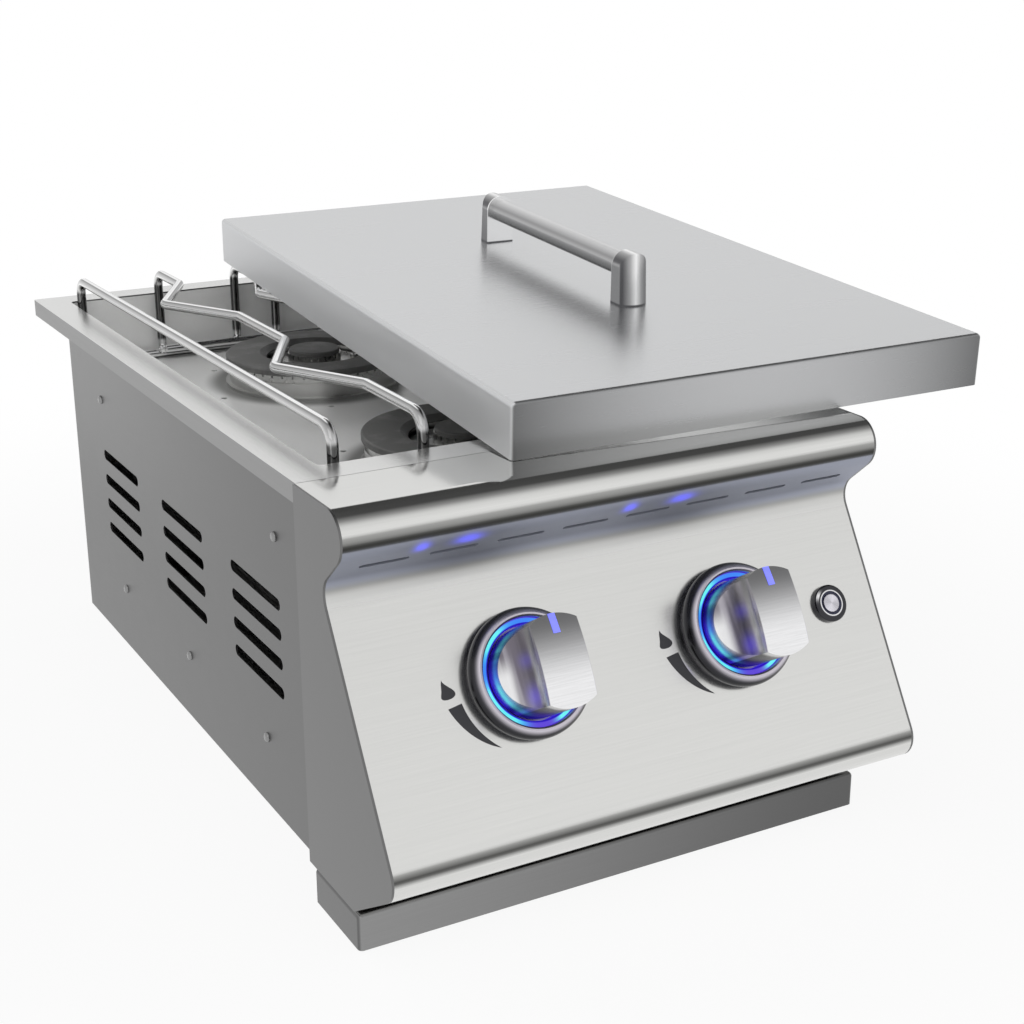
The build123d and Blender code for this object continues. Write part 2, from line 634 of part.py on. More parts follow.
# Valves, orifices, plugs, stems, bezels, light rings and knobs, one set per knob
for side, sign in (("left", -1), ("right", 1)):
    knob_x = sign * knob_pitch / 2
    knob_face = face_plane(knob_x)
    valve_top = -valve_depth
    valve_bottom = valve_top - valve_length

    with BuildPart() as valve_body:
        with BuildSketch(knob_face.offset(valve_bottom)):
            RectangleRounded(valve_width, valve_thick, valve_corner_r)
        extrude(amount=valve_length)
        with BuildSketch(knob_face.offset(valve_top)):
            Circle(valve_neck_r)
        extrude(amount=valve_neck_length)
        with BuildSketch(knob_face.offset(-manifold_depth + manifold_r - manifold_wall)):
            Circle(inlet_spigot_r)
        extrude(amount=manifold_depth - manifold_r + manifold_wall + valve_bottom)
        outlet_y = firewall_y - hole_gap - outlet_length
        with BuildSketch(Plane.XZ.offset(-outlet_y)):
            with Locations((knob_x, outlet_z)):
                Circle(outlet_r)
        extrude(amount=-outlet_length)
        with BuildSketch(knob_face.offset(-plug_depth - plug_length)):
            Circle(plug_r + plug_clearance)
        extrude(amount=plug_length, mode=Mode.SUBTRACT)
        with BuildSketch(knob_face.offset(-plug_depth)):
            Circle(stem_r + stem_clearance)
        extrude(amount=plug_depth, mode=Mode.SUBTRACT)
        with BuildSketch(Plane.XZ.offset(-(outlet_y + outlet_length))):
            with Locations((knob_x, outlet_z)):
                Circle(orifice_r)
        extrude(amount=orifice_length / 2, mode=Mode.SUBTRACT)
    save(valve_body, f"{side}_valve_body")

    with BuildPart() as orifice:
        orifice_y = outlet_y + outlet_length - orifice_length / 2
        with BuildSketch(Plane.XZ.offset(-orifice_y)):
            with Locations((knob_x, outlet_z)):
                Circle(orifice_r)
                Circle(orifice_bore_r, mode=Mode.SUBTRACT)
        extrude(amount=-orifice_length)
    save(orifice, f"{side}_orifice")

    with BuildPart() as valve_plug:
        with BuildSketch(knob_face.offset(-plug_depth - plug_length + hole_gap)):
            Circle(plug_r)
        extrude(amount=plug_length - 2 * hole_gap)
        with BuildSketch(knob_face.offset(-plug_depth - hole_gap)):
            Circle(stem_r + stem_clearance)
        extrude(amount=-(stem_reach - plug_depth + push_travel), mode=Mode.SUBTRACT)
    save(valve_plug, f"{side}_valve_plug")

    with BuildPart() as valve_stem:
        with BuildSketch(knob_face.offset(-stem_reach)):
            Circle(stem_r)
        extrude(amount=stem_reach + knob_base + stem_socket)
    save(valve_stem, f"{side}_valve_stem")

    with BuildPart() as knob_bezel:
        with BuildSketch(Plane(origin=knob_face.origin, x_dir=(1, 0, 0), z_dir=-knob_face.y_dir)):
            with BuildLine():
                mouth = Line((bezel_mouth_r, bezel_floor), (bezel_mouth_r, bezel_height - bezel_edge))
                rim_in = Line(mouth @ 1, (bezel_mouth_r + bezel_edge, bezel_height))
                rim_top = Line(rim_in @ 1, (bezel_rim_r - bezel_edge, bezel_height))
                foot = (bezel_bulge_r - bezel_foot_inset, 0)
                flank = ThreePointArc(rim_top @ 1, (bezel_bulge_r, bezel_waist_height), foot)
                bottom = Line(flank @ 1, (panel_hole_r, 0))
                throat = Line(bottom @ 1, (panel_hole_r, bezel_floor))
                Line(throat @ 1, mouth @ 0)
            make_face()
        revolve(axis=Axis(knob_face.origin, knob_face.z_dir))
    save(knob_bezel, f"{side}_knob_bezel")

    with BuildPart() as led_ring:
        with BuildSketch(knob_face.offset(bezel_floor)):
            Circle(bezel_mouth_r - led_ring_gap)
            Circle(led_ring_inner_r, mode=Mode.SUBTRACT)
        extrude(amount=led_ring_height - bezel_floor)
        inner_rims = led_ring.edges().filter_by(GeomType.CIRCLE).group_by(SortBy.RADIUS)[0]
        chamfer(inner_rims.sort_by(Axis.Z)[-1], led_ring_edge)
    save(led_ring, f"{side}_led_ring")

    with BuildPart() as knob:
        with BuildSketch(knob_face.offset(knob_base)):
            Circle(knob_r)
        extrude(amount=knob_height - knob_base)
        crown_r = (knob_r**2 + blade_crown**2) / (2 * blade_crown)
        crown_plane = Plane(origin=knob_face.origin, x_dir=knob_face.y_dir, z_dir=(1, 0, 0))
        with BuildSketch(crown_plane.offset(-knob_r)):
            with Locations((0, knob_height - crown_r)):
                Circle(crown_r)
        extrude(amount=2 * knob_r, mode=Mode.INTERSECT)
        scoop_plane = Plane(origin=knob_face.origin, x_dir=(1, 0, 0), z_dir=-knob_face.y_dir)
        with BuildSketch(scoop_plane.offset(-knob_r)):
            for scoop_sign in (-1, 1):
                with BuildLine():
                    lip = Line(
                        (scoop_sign * 2 * knob_r, knob_height + blade_lip),
                        (scoop_sign * blade_width / 2, knob_height + blade_lip),
                    )
                    blade_foot = (scoop_sign * blade_width / 2, knob_height - blade_lip)
                    blade_edge = Line(lip @ 1, blade_foot)
                    scoop = RadiusArc(
                        blade_edge @ 1,
                        (scoop_sign * knob_r, knob_skirt),
                        -scoop_sign * scoop_r,
                    )
                    shoulder = Line(scoop @ 1, (scoop_sign * 2 * knob_r, knob_skirt))
                    Line(shoulder @ 1, lip @ 0)
                make_face()
        extrude(amount=2 * knob_r, mode=Mode.SUBTRACT)
        with BuildSketch(knob_face.offset(knob_base)):
            Circle(stem_r)
        extrude(amount=stem_socket, mode=Mode.SUBTRACT)
        pointer_base = knob_height - blade_crown - pointer_depth
        with BuildSketch(knob_face.offset(pointer_base)):
            with Locations((0, knob_r - pointer_length / 2)):
                Rectangle(pointer_width, pointer_length)
        extrude(amount=blade_crown + pointer_depth, mode=Mode.SUBTRACT)
    save(knob, f"{side}_knob")

    with BuildPart() as knob_pointer:
        with BuildSketch(knob_face.offset(pointer_base)):
            with Locations((0, knob_r - pointer_length / 2)):
                Rectangle(pointer_width, pointer_length)
            Circle(knob_r, mode=Mode.INTERSECT)
        extrude(amount=blade_crown + pointer_depth)
        with BuildSketch(crown_plane.offset(-knob_r)):
            with Locations((0, knob_height + pointer_proud - crown_r)):
                Circle(crown_r)
        extrude(amount=2 * knob_r, mode=Mode.INTERSECT)
    save(knob_pointer, f"{side}_knob_pointer")

# Light switch: threaded body with its bezel, a light ring and the button
switch_face = face_plane(switch_x)
switch_well = switch_button_length + switch_travel
switch_well_bottom = switch_bezel_height - switch_well
with BuildPart() as switch_body:
    with BuildSketch(switch_face):
        Circle(switch_bezel_r)
    extrude(amount=switch_bezel_height)
    fillet(switch_body.faces().sort_by(Axis.Y)[0].edges(), switch_bezel_round)
    with BuildSketch(switch_face.offset(-switch_body_length)):
        Circle(switch_body_r)
    extrude(amount=switch_body_length)
    with BuildSketch(switch_face.offset(switch_well_bottom)):
        Circle(switch_ring_r)
    extrude(amount=switch_well, mode=Mode.SUBTRACT)
save(switch_body, "switch_body")

with BuildPart() as switch_led_ring:
    with BuildSketch(switch_face.offset(switch_well_bottom)):
        Circle(switch_ring_r)
        Circle(switch_button_r + switch_gap, mode=Mode.SUBTRACT)
    extrude(amount=switch_well - switch_ring_recess)
save(switch_led_ring, "switch_led_ring")

with BuildPart() as switch_button:
    button_bottom = switch_bezel_height + switch_button_proud - switch_button_length
    with BuildSketch(switch_face.offset(button_bottom)):
        Circle(switch_button_r)
    extrude(amount=switch_button_length)
    fillet(switch_button.edges().filter_by(GeomType.CIRCLE).sort_by(Axis.Y)[0], switch_button_round)
save(switch_button, "switch_button")

# Ignition module on the front of the firewall
with BuildPart() as ignition_module:
    with BuildSketch(Plane.XZ.offset(-firewall_y)):
        with Locations((module_x, module_z)):
            RectangleRounded(module_width, module_height, module_corner_r)
    extrude(amount=module_depth)
    fillet(ignition_module.faces().sort_by(Axis.Y)[0].edges(), module_edge_r)
save(ignition_module, "ignition_module")

# Burners: base with its mixing cup, port rings, caps, feed tube and electrode
for place, burner_y in burner_ys.items():
    with BuildPart() as burner_base:
        with BuildSketch(Plane.XY.offset(pan_floor_z)):
            with Locations((0, burner_y)):
                Circle(base_r + base_foot_lip)
        extrude(amount=base_foot_height)
        with BuildSketch(Plane.XY.offset(pan_floor_z)):
            with Locations((0, burner_y)):
                Circle(base_r)
        extrude(amount=base_height)
        with BuildSketch(Plane.XY.offset(cup_floor_z)):
            with Locations((0, burner_y)):
                Circle(cup_r)
        extrude(amount=cup_depth + pan_wall)
        with BuildSketch(Plane.XY.offset(cup_floor_z + cup_wall)):
            with Locations((0, burner_y)):
                Circle(cup_r - cup_wall)
        extrude(amount=cup_depth + pan_wall + base_height, mode=Mode.SUBTRACT)
        with BuildSketch(Plane.XY.offset(cup_floor_z)):
            with Locations((0, burner_y)):
                Circle(feed_r - feed_wall)
        extrude(amount=cup_wall, mode=Mode.SUBTRACT)
        with BuildSketch(Plane.XY.offset(pan_floor_z + base_wall)):
            with Locations((0, burner_y)):
                Circle(base_r - base_wall)
                Circle(cup_r + base_wall, mode=Mode.SUBTRACT)
        extrude(amount=base_height, mode=Mode.SUBTRACT)
        with BuildSketch(Plane.XY.offset(pan_floor_z)):
            with Locations((electrode_x, burner_y + electrode_dy)):
                Circle(electrode_r + electrode_gap)
        extrude(amount=base_height, mode=Mode.SUBTRACT)
    save(burner_base, f"{place}_burner_base")

    with BuildPart() as outer_head:
        with BuildSketch(Plane.XY.offset(base_top_z)):
            with Locations((0, burner_y)):
                Circle(outer_head_r)
                Circle(outer_head_inner_r, mode=Mode.SUBTRACT)
        extrude(amount=outer_head_height)
        with BuildSketch(Plane.XY.offset(outer_head_top_z)):
            with Locations((0, burner_y)):
                with PolarLocations(outer_head_r, outer_ports):
                    Rectangle(2 * port_depth, port_width)
        extrude(amount=-port_height, mode=Mode.SUBTRACT)
    save(outer_head, f"{place}_outer_head")

    with BuildPart() as outer_cap:
        with BuildSketch(Plane.XZ.offset(-burner_y)):
            with BuildLine():
                shoulder_z = outer_head_top_z + outer_cap_height - outer_cap_round
                cap_under = Line((outer_cap_inner_r, outer_head_top_z), (outer_cap_r, outer_head_top_z))
                cap_side = Line(cap_under @ 1, (outer_cap_r, shoulder_z))
                cap_round = RadiusArc(
                    cap_side @ 1,
                    (outer_cap_r - outer_cap_round, shoulder_z + outer_cap_round),
                    -outer_cap_round,
                )
                bevel_top = (outer_cap_inner_r + outer_cap_bevel, shoulder_z + outer_cap_round)
                cap_top = Line(cap_round @ 1, bevel_top)
                bevel = Line(cap_top @ 1, (outer_cap_inner_r, outer_head_top_z + outer_cap_lip))
                Line(bevel @ 1, cap_under @ 0)
            make_face()
        revolve(axis=Axis((0, burner_y, 0), (0, 0, 1)))
    save(outer_cap, f"{place}_outer_cap")

    with BuildPart() as inner_head:
        with BuildSketch(Plane.XY.offset(base_top_z)):
            with Locations((0, burner_y)):
                Circle(inner_head_foot_r)
        extrude(amount=inner_head_foot_height)
        with BuildSketch(Plane.XY.offset(base_top_z)):
            with Locations((0, burner_y)):
                Circle(inner_head_r)
        extrude(amount=inner_head_height)
        with BuildSketch(Plane.XY.offset(base_top_z + inner_head_height)):
            with Locations((0, burner_y)):
                with PolarLocations(inner_head_r, inner_ports):
                    Rectangle(2 * port_depth, port_width)
        extrude(amount=-port_height, mode=Mode.SUBTRACT)
        with BuildSketch(Plane.XY.offset(base_top_z)):
            with Locations((electrode_x, burner_y + electrode_dy)):
                Circle(electrode_r + electrode_gap)
        extrude(amount=inner_head_foot_height, mode=Mode.SUBTRACT)
    save(inner_head, f"{place}_inner_head")

    with BuildPart() as inner_cap:
        with BuildSketch(Plane.XY.offset(base_top_z + inner_head_height)):
            with Locations((0, burner_y)):
                Circle(inner_cap_r)
        extrude(amount=inner_cap_height)
        fillet(inner_cap.faces().sort_by(Axis.Z)[-1].edges(), inner_cap_round)
    save(inner_cap, f"{place}_inner_cap")

    with BuildPart() as electrode:
        with BuildSketch(Plane.XY.offset(electrode_low_z)):
            with Locations((electrode_x, burner_y + electrode_dy)):
                Circle(electrode_r)
        extrude(amount=base_top_z + inner_head_foot_height + electrode_rise - electrode_low_z)
        with BuildSketch(electrode.faces().sort_by(Axis.Z)[-1]):
            Circle(electrode_wire_r)
        extrude(amount=electrode_wire_height)
    save(electrode, f"{place}_electrode")

    # The left valve feeds the rear burner and the right valve the front one
    feed_x = (-1 if place == "rear" else 1) * knob_pitch / 2
    with BuildPart() as feed_tube:
        with BuildLine() as feed_path:
            FilletPolyline(
                (feed_x, firewall_y + sheet + feed_start_gap, outlet_z),
                (feed_x, burner_y - abs(feed_x), outlet_z),
                (0, burner_y, outlet_z),
                (0, burner_y, cup_floor_z),
                radius=feed_bend_r,
            )
        with BuildSketch(Plane(origin=feed_path.line @ 0, z_dir=feed_path.line % 0)):
            Circle(feed_r)
            Circle(feed_r - feed_wall, mode=Mode.SUBTRACT)
        sweep()
    save(feed_tube, f"{place}_feed_tube")

# Ignition leads from the module to the foot of each electrode
with BuildPart() as ignition_leads:
    for lead_sign, burner_y in ((-1, burner_ys["front"]), (1, burner_ys["rear"])):
        lead_x = module_x + lead_sign * lead_spacing / 2
        electrode_y = burner_y + electrode_dy
        with BuildLine() as lead_path:
            FilletPolyline(
                (lead_x, firewall_y, lead_z),
                (lead_x, electrode_y, lead_z),
                (electrode_x, electrode_y, lead_z),
                (electrode_x, electrode_y, electrode_low_z),
                radius=lead_bend_r,
            )
        with BuildSketch(Plane(origin=lead_path.line @ 0, z_dir=lead_path.line % 0)):
            Circle(lead_r)
        sweep(path=lead_path.line)
save(ignition_leads, "ignition_leads")

# Drip tray front: a folded box, open at the rear
with BuildPart() as drip_tray_front:
    with BuildSketch(Plane.XY.offset(tray_front_z)):
        with Locations((0, tray_front_rear_y - tray_front_depth / 2)):
            Rectangle(2 * flange_half, tray_front_depth)
    extrude(amount=tray_front_height)
    corner_edges = drip_tray_front.edges().filter_by(Axis.Z).group_by(Axis.Y)[0]
    top_edges = drip_tray_front.faces().sort_by(Axis.Z)[-1].edges().sort_by(Axis.Y)[:-1]
    fillet(corner_edges + top_edges, tray_front_r)
    offset(amount=-sheet, openings=drip_tray_front.faces().sort_by(Axis.Y)[-1])
save(drip_tray_front, "drip_tray_front")

# Drip tray pan: an open box with out-turned flanges that ride on the rails
with BuildPart() as drip_tray_pan:
    tray_middle_y = tray_pan_front_y + tray_pan_depth / 2
    with BuildSketch(Plane.XY.offset(tray_pan_z)):
        with Locations((0, tray_middle_y)):
            Rectangle(tray_pan_width, tray_pan_depth)
    extrude(amount=tray_pan_height)
    offset(amount=-sheet, openings=drip_tray_pan.faces().sort_by(Axis.Z)[-1])
    with BuildSketch(Plane.XY.offset(tray_pan_z + tray_pan_height - sheet)):
        with Locations((0, tray_middle_y)):
            Rectangle(tray_pan_width + 2 * tray_flange, tray_pan_depth)
            Rectangle(tray_pan_width - 2 * sheet, tray_pan_depth - 2 * sheet, mode=Mode.SUBTRACT)
    extrude(amount=sheet)
save(drip_tray_pan, "drip_tray_pan")


def kinked_rod(x, kink, front_x):
    """Corner points of one grate rod: leg, two sideways kinks along the top, leg."""
    points = [(x, leg_rear_y, foot_z), (x, leg_rear_y, grate_z)]
    for kink_y in (kink_rear_y, kink_rear_y - kink_pitch):
        if kink:
            points += [
                (x, kink_y + kink_half_length, grate_z),
                (x + kink, kink_y, grate_z),
                (x, kink_y - kink_half_length, grate_z),
            ]
    points += [(front_x, leg_front_y, grate_z), (front_x, leg_front_y, foot_z)]
    return points


# Cooking grate: six bent rods welded to cross rods on the pan floor
with BuildPart() as cooking_grate:
    rods = [(rail_rod_x, 0, rail_front_x), (outer_rod_x, outer_kink, outer_rod_x)]
    rods += [(inner_rod_x, inner_kink, inner_rod_x)]
    for sign in (-1, 1):
        for rod_x, kink, front_x in rods:
            with BuildLine() as rod_path:
                rod_points = kinked_rod(sign * rod_x, sign * kink, sign * front_x)
                bends = [rod_bend_r] + [kink_bend_r] * (len(rod_points) - 4) + [rod_bend_r]
                FilletPolyline(*rod_points, radius=bends)
            with BuildSketch(Plane(origin=rod_path.line @ 0, z_dir=rod_path.line % 0)):
                Circle(rod_r)
            sweep(path=rod_path.line)
    for leg_y, inward, leg_x in ((leg_front_y, 1, rail_front_x), (leg_rear_y, -1, rail_rod_x)):
        with BuildSketch(Plane.YZ.offset(-leg_x - rod_r)):
            with Locations((leg_y, foot_z)):
                Circle(rod_r)
        extrude(amount=2 * (leg_x + rod_r))
        with BuildSketch(Plane.YZ.offset(tie_rod_short - outer_rod_x)):
            with Locations((leg_y + inward * (2 * rod_r - tie_rod_sink), foot_z + tie_rod_rise)):
                Circle(rod_r)
        extrude(amount=2 * (outer_rod_x - tie_rod_short))
save(cooking_grate, "cooking_grate")

# Lid cover: a folded tray upside down
lid_up = Axis(lid_plane.origin, lid_plane.z_dir)
with BuildPart() as lid_hollow:
    with BuildSketch(lid_plane):
        RectangleRounded(lid_width - 2 * sheet, lid_depth - 2 * sheet, lid_r - sheet)
    extrude(amount=lid_height - sheet)
    fillet(lid_hollow.faces().sort_by(lid_up)[-1].edges(), lid_r - sheet)
with BuildPart() as lid_cover:
    with BuildSketch(lid_plane):
        RectangleRounded(lid_width, lid_depth, lid_r)
    extrude(amount=lid_height)
    fillet(lid_cover.faces().sort_by(lid_up)[-1].edges(), lid_r)
    add(lid_hollow.part, mode=Mode.SUBTRACT)
    with BuildSketch(lid_plane.offset(lid_height)):
        with GridLocations(1, 2 * post_middle, 1, 2):
            Circle(post_screw_r + post_screw_gap)
    extrude(amount=-2 * sheet, mode=Mode.SUBTRACT)
save(lid_cover, "lid_cover")

# Handle bar: a tube between the posts
lid_top = lid_plane.offset(lid_height)
bar_r = handle_width / 2 - bar_inset
bar_half = handle_length / 2 - post_depth
bar_start = lid_top.origin - bar_half * lid_top.y_dir
bar_plane = Plane(origin=bar_start, x_dir=lid_top.x_dir, z_dir=lid_top.y_dir)
with BuildPart() as handle_bar:
    with BuildSketch(bar_plane):
        with Locations((0, -(handle_height - handle_width / 2))):
            Circle(bar_r)
            Circle(bar_r - bar_wall, mode=Mode.SUBTRACT)
    extrude(amount=2 * bar_half)
save(handle_bar, "handle_bar")

# Handle posts: flat inside, bowed outside, with an arched top
for place, sign in (("front", -1), ("rear", 1)):
    with BuildPart() as handle_post:
        for section, flare in ((lid_top, post_flare), (lid_top.offset(handle_height), 0)):
            shoulder = bar_half + post_flat + flare
            with BuildSketch(section):
                with BuildLine():
                    inner_start = (handle_width / 2, sign * bar_half)
                    inner_edge = Line(inner_start, (-handle_width / 2, sign * bar_half))
                    left_edge = Line(inner_edge @ 1, (-handle_width / 2, sign * shoulder))
                    bow_middle = (0, sign * (handle_length / 2 + flare))
                    bow = ThreePointArc(left_edge @ 1, bow_middle, (handle_width / 2, sign * shoulder))
                    Line(bow @ 1, inner_edge @ 0)
                make_face()
        loft()
        with BuildSketch(bar_plane.offset(-post_depth - post_flare)):
            with Locations((0, -(handle_height - handle_width / 2))):
                Circle(handle_width / 2)
            with Locations((0, -(handle_height - handle_width / 2) / 2)):
                Rectangle(handle_width, handle_height - handle_width / 2)
        extrude(amount=handle_length + 2 * post_flare, mode=Mode.INTERSECT)
        with BuildSketch(lid_top):
            with Locations((0, sign * post_middle)):
                Circle(post_screw_r + post_screw_gap)
        extrude(amount=post_screw_length, mode=Mode.SUBTRACT)
    save(handle_post, f"{place}_handle_post")

# Handle screws from under the lid
with BuildPart() as handle_screws:
    with BuildSketch(lid_top.offset(-sheet)):
        with GridLocations(1, 2 * post_middle, 1, 2):
            Circle(post_screw_r)
    extrude(amount=post_screw_length)
    with BuildSketch(lid_top.offset(-sheet)):
        with GridLocations(1, 2 * post_middle, 1, 2):
            Circle(post_screw_head_r)
    extrude(amount=-post_screw_head_height)
save(handle_screws, "handle_screws")
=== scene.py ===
"""Dresses a double side burner for a photograph.

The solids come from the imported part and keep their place. This add-on gives each of them its
finish, adds the printed marks and the weld beads, and sets the stage, the lights and the camera.
Lengths are in metres; X is to the right, -Y to the front and Z up.
"""

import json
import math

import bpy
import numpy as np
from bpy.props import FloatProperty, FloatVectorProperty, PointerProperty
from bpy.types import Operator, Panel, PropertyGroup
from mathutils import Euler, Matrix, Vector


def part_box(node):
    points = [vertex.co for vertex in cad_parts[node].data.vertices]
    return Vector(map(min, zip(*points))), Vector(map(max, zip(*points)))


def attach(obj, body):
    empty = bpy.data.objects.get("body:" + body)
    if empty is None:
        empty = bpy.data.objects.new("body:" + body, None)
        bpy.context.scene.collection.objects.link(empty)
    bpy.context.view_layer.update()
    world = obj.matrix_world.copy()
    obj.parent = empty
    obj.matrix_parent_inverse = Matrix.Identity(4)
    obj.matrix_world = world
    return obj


bl_info = {
    "name": "Double side burner",
    "version": (1, 0, 0),
    "blender": (4, 5, 0),
    "location": "View3D > Sidebar > Side burner",
    "description": "Finishes, marks, stage and camera of a double side burner",
    "category": "Object",
}

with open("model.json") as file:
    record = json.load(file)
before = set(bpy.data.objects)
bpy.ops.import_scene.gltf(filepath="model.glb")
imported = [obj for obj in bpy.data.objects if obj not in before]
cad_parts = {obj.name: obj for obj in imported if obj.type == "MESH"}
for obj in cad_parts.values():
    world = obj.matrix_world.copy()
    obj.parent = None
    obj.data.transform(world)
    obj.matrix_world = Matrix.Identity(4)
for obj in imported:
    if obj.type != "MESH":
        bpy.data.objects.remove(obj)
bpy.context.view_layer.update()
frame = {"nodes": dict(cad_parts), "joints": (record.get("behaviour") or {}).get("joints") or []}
joints = {joint["name"]: joint for joint in frame["joints"]}

HANDS = ("left", "right")
PLACES = ("front", "rear")
ORIGIN = (0.0, 0.0, 0.0)
RIGHT = (1.0, 0.0, 0.0)
REAR = (0.0, 1.0, 0.0)
UP = (0.0, 0.0, 1.0)
BLACK = (0.0, 0.0, 0.0)
WHITE = (1.0, 1.0, 1.0)


def colour(name, description, value):
    """A colour that the user may change."""
    return FloatVectorProperty(
        name=name, description=description, subtype="COLOR", size=3, min=0.0, max=1.0, default=value
    )


def length(name, description, value):
    """A length in metres that the user may change."""
    return FloatProperty(name=name, description=description, unit="LENGTH", min=0.0, default=value)


def turn(name, description, degrees):
    """An angle that the user may change."""
    return FloatProperty(
        name=name, description=description, subtype="ANGLE", default=math.radians(degrees)
    )


def share(name, description, value):
    """A share between 0 and 1 that the user may change."""
    return FloatProperty(
        name=name, description=description, subtype="FACTOR", min=0.0, max=1.0, default=value
    )


class HousingLook(PropertyGroup):
    """Finish of the sheet-metal box."""

    # Painted shade: the sides' steel is darkened to stand for the shade they are in.
    side: colour("Side sheet", "Plain steel of the two sides", (0.172, 0.172, 0.172))
    plain: colour("Plain sheet", "Plain steel of the back, floor and rails", (0.32, 0.32, 0.32))
    deck: colour("Deck sheet", "Brushed steel of the flange on the counter", (0.77, 0.77, 0.76))
    # Painted shade: the flange's upright edge is the deck's sheet, darkened.
    lip: colour("Flange lip", "Steel of the flange's upright edge", (0.27, 0.27, 0.27))
    roughness: share("Roughness", "Roughness of the plain sheet", 0.36)
    # Painted reflection: the screws' steel is darkened to the dim reflection that they show.
    screw: colour("Screws", "Steel of the dome-head screws", (0.28, 0.28, 0.28))


class PanelLook(PropertyGroup):
    """Finish of the control panel, and the marks printed on it."""

    sheet: colour("Panel sheet", "Brushed steel of the control panel", (0.69, 0.69, 0.675))
    # Painted reflection: the slant's blue tint and the dark line on the rolls stand for what they
    # mirror.
    slant: colour("Slant sheet", "Steel of the slant under the nose", (0.79, 0.83, 0.98))
    dark: colour("Dark line", "Darkest tone of the nose and the toe", (0.012, 0.012, 0.010))
    # Painted shade: the end caps' steel is darkened to stand for the shade they are in.
    cap: colour("End caps", "Steel of the two end caps", (0.172, 0.172, 0.172))
    roughness: share("Roughness", "Roughness of the brushed panel", 0.20)
    # Painted light: blue emission on the slant stands for the lamps' light falling on it.
    painted_glow: colour("Glow", "Light of the lamps over the slant", (0.06, 0.06, 1.0))
    painted_glow_height: length("Glow height", "Height of the lamps' light over the floor", 0.2315)
    ink: colour("Ink", "Print of the marks", (0.035, 0.035, 0.04))
    lift: length("Print height", "How far the print stands over the panel", 0.00012)
    arc_start_radius: length("Arc radius at its wide end", "From the knob's axis", 0.0470)
    arc_end_radius: length("Arc radius at its tip", "From the knob's axis", 0.0438)
    arc_width: length("Arc width", "Width of the arc at its wide end", 0.0088)
    arc_start: turn("Arc start", "Angle of the wide end below nine o'clock", 10.0)
    arc_end: turn("Arc end", "Angle of the tip below nine o'clock", 55.0)
    flame_radius: length("Flame mark place", "From the knob's axis, at nine o'clock", 0.0495)
    flame_height: length("Flame mark height", "Height of the flame mark", 0.0112)
    flame_width: length("Flame mark width", "Width of the flame mark", 0.0078)


class KnobLook(PropertyGroup):
    """Finish of the knobs, their bezels and their light rings."""

    # Painted reflection: the blade runs from dark at its top to bright at its foot; painted shade
    # under it.
    blade_painted_dark: colour("Blade, top", "Satin metal at the top of the blade", (0.21, 0.21, 0.215))
    blade_painted_bright: colour("Blade, foot", "Satin metal at the foot of the blade", (0.86, 0.86, 0.87))
    under: colour("Blade, underside", "Shaded metal under the blade's foot", (0.10, 0.10, 0.105))
    scoop_dark: colour("Scoop, dark", "Dark streaks of the scooped sides", (0.17, 0.155, 0.185))
    scoop_light: colour("Scoop, light", "Light streaks of the scooped sides", (0.50, 0.48, 0.53))
    # Painted light: the ring's blue light on the scooped sides, as emission.
    scoop_painted_glow: colour("Scoop, glow", "Blue light on the scooped sides", (0.05, 0.02, 0.55))
    blade_half: length("Blade half width", "Half the width of the blade", 0.0145)
    knob_roughness: share("Knob roughness", "Roughness of the satin metal", 0.25)
    # Painted reflection: the bezel runs from a pale rim to a dark flank.
    rim: colour("Bezel rim", "Polished metal of the bezel's rim", (0.62, 0.59, 0.65))
    flank: colour("Bezel flank", "Dark metal of the bezel's flank", (0.045, 0.045, 0.05))
    rim_radius: length("Rim radius", "Where the bezel starts to darken", 0.0328)
    flank_radius: length("Flank radius", "Where the bezel is dark", 0.0360)
    light_inner: colour("Light, inner", "Inner band of the light ring", (0.022, 0.004, 0.50))
    light_middle: colour("Light, middle", "Middle band of the light ring", (0.010, 0.20, 0.85))
    light_spot: colour("Light, spots", "Hot spots over the lamps", (0.12, 0.86, 0.86))
    light_outer: colour("Light, outer", "Outer line of the light ring", (0.075, 0.018, 0.60))
    pointer: colour("Pointer", "Lit line on the knob", (0.19, 0.21, 1.0))


class SwitchLook(PropertyGroup):
    """Finish of the light switch."""

    # Painted reflection: the bead's chrome is darkened; its glint is a painted highlight in the rim's
    # colour.
    bezel: colour("Bezel", "Dark chrome of the switch body", (0.05, 0.05, 0.055))
    rim: colour("Rim", "Bright inner rim of the switch body", (0.82, 0.82, 0.83))
    rim_radius: length("Rim radius", "How far out the bright rim reaches", 0.0081)
    ring: colour("Ring", "Light ring, not lit", (0.010, 0.013, 0.05))
    button: colour("Button", "Satin metal of the button", (0.66, 0.65, 0.70))


class BurnerLook(PropertyGroup):
    """Finish of the pan and the burners."""

    pan: colour("Pan", "Satin steel of the pan", (0.95, 0.95, 0.94))
    # Painted reflection and shade: the pan is darkened round each burner.
    painted_dark_ring: length("Halo", "Width of the dark ring on the pan round a burner", 0.019)
    pan_roughness: share("Pan roughness", "Roughness of the satin pan", 0.30)
    pan_metal: share("Pan metal", "How much of the pan's gloss is metal's, not a satin coat's", 0.22)
    steel: colour("Burner steel", "Steel of the bases and heads", (0.56, 0.56, 0.55))
    enamel: colour("Enamel", "Black enamel of the caps", (0.115, 0.115, 0.112))
    ceramic: colour("Ceramic", "Glazed body of the electrodes", (0.80, 0.78, 0.72))


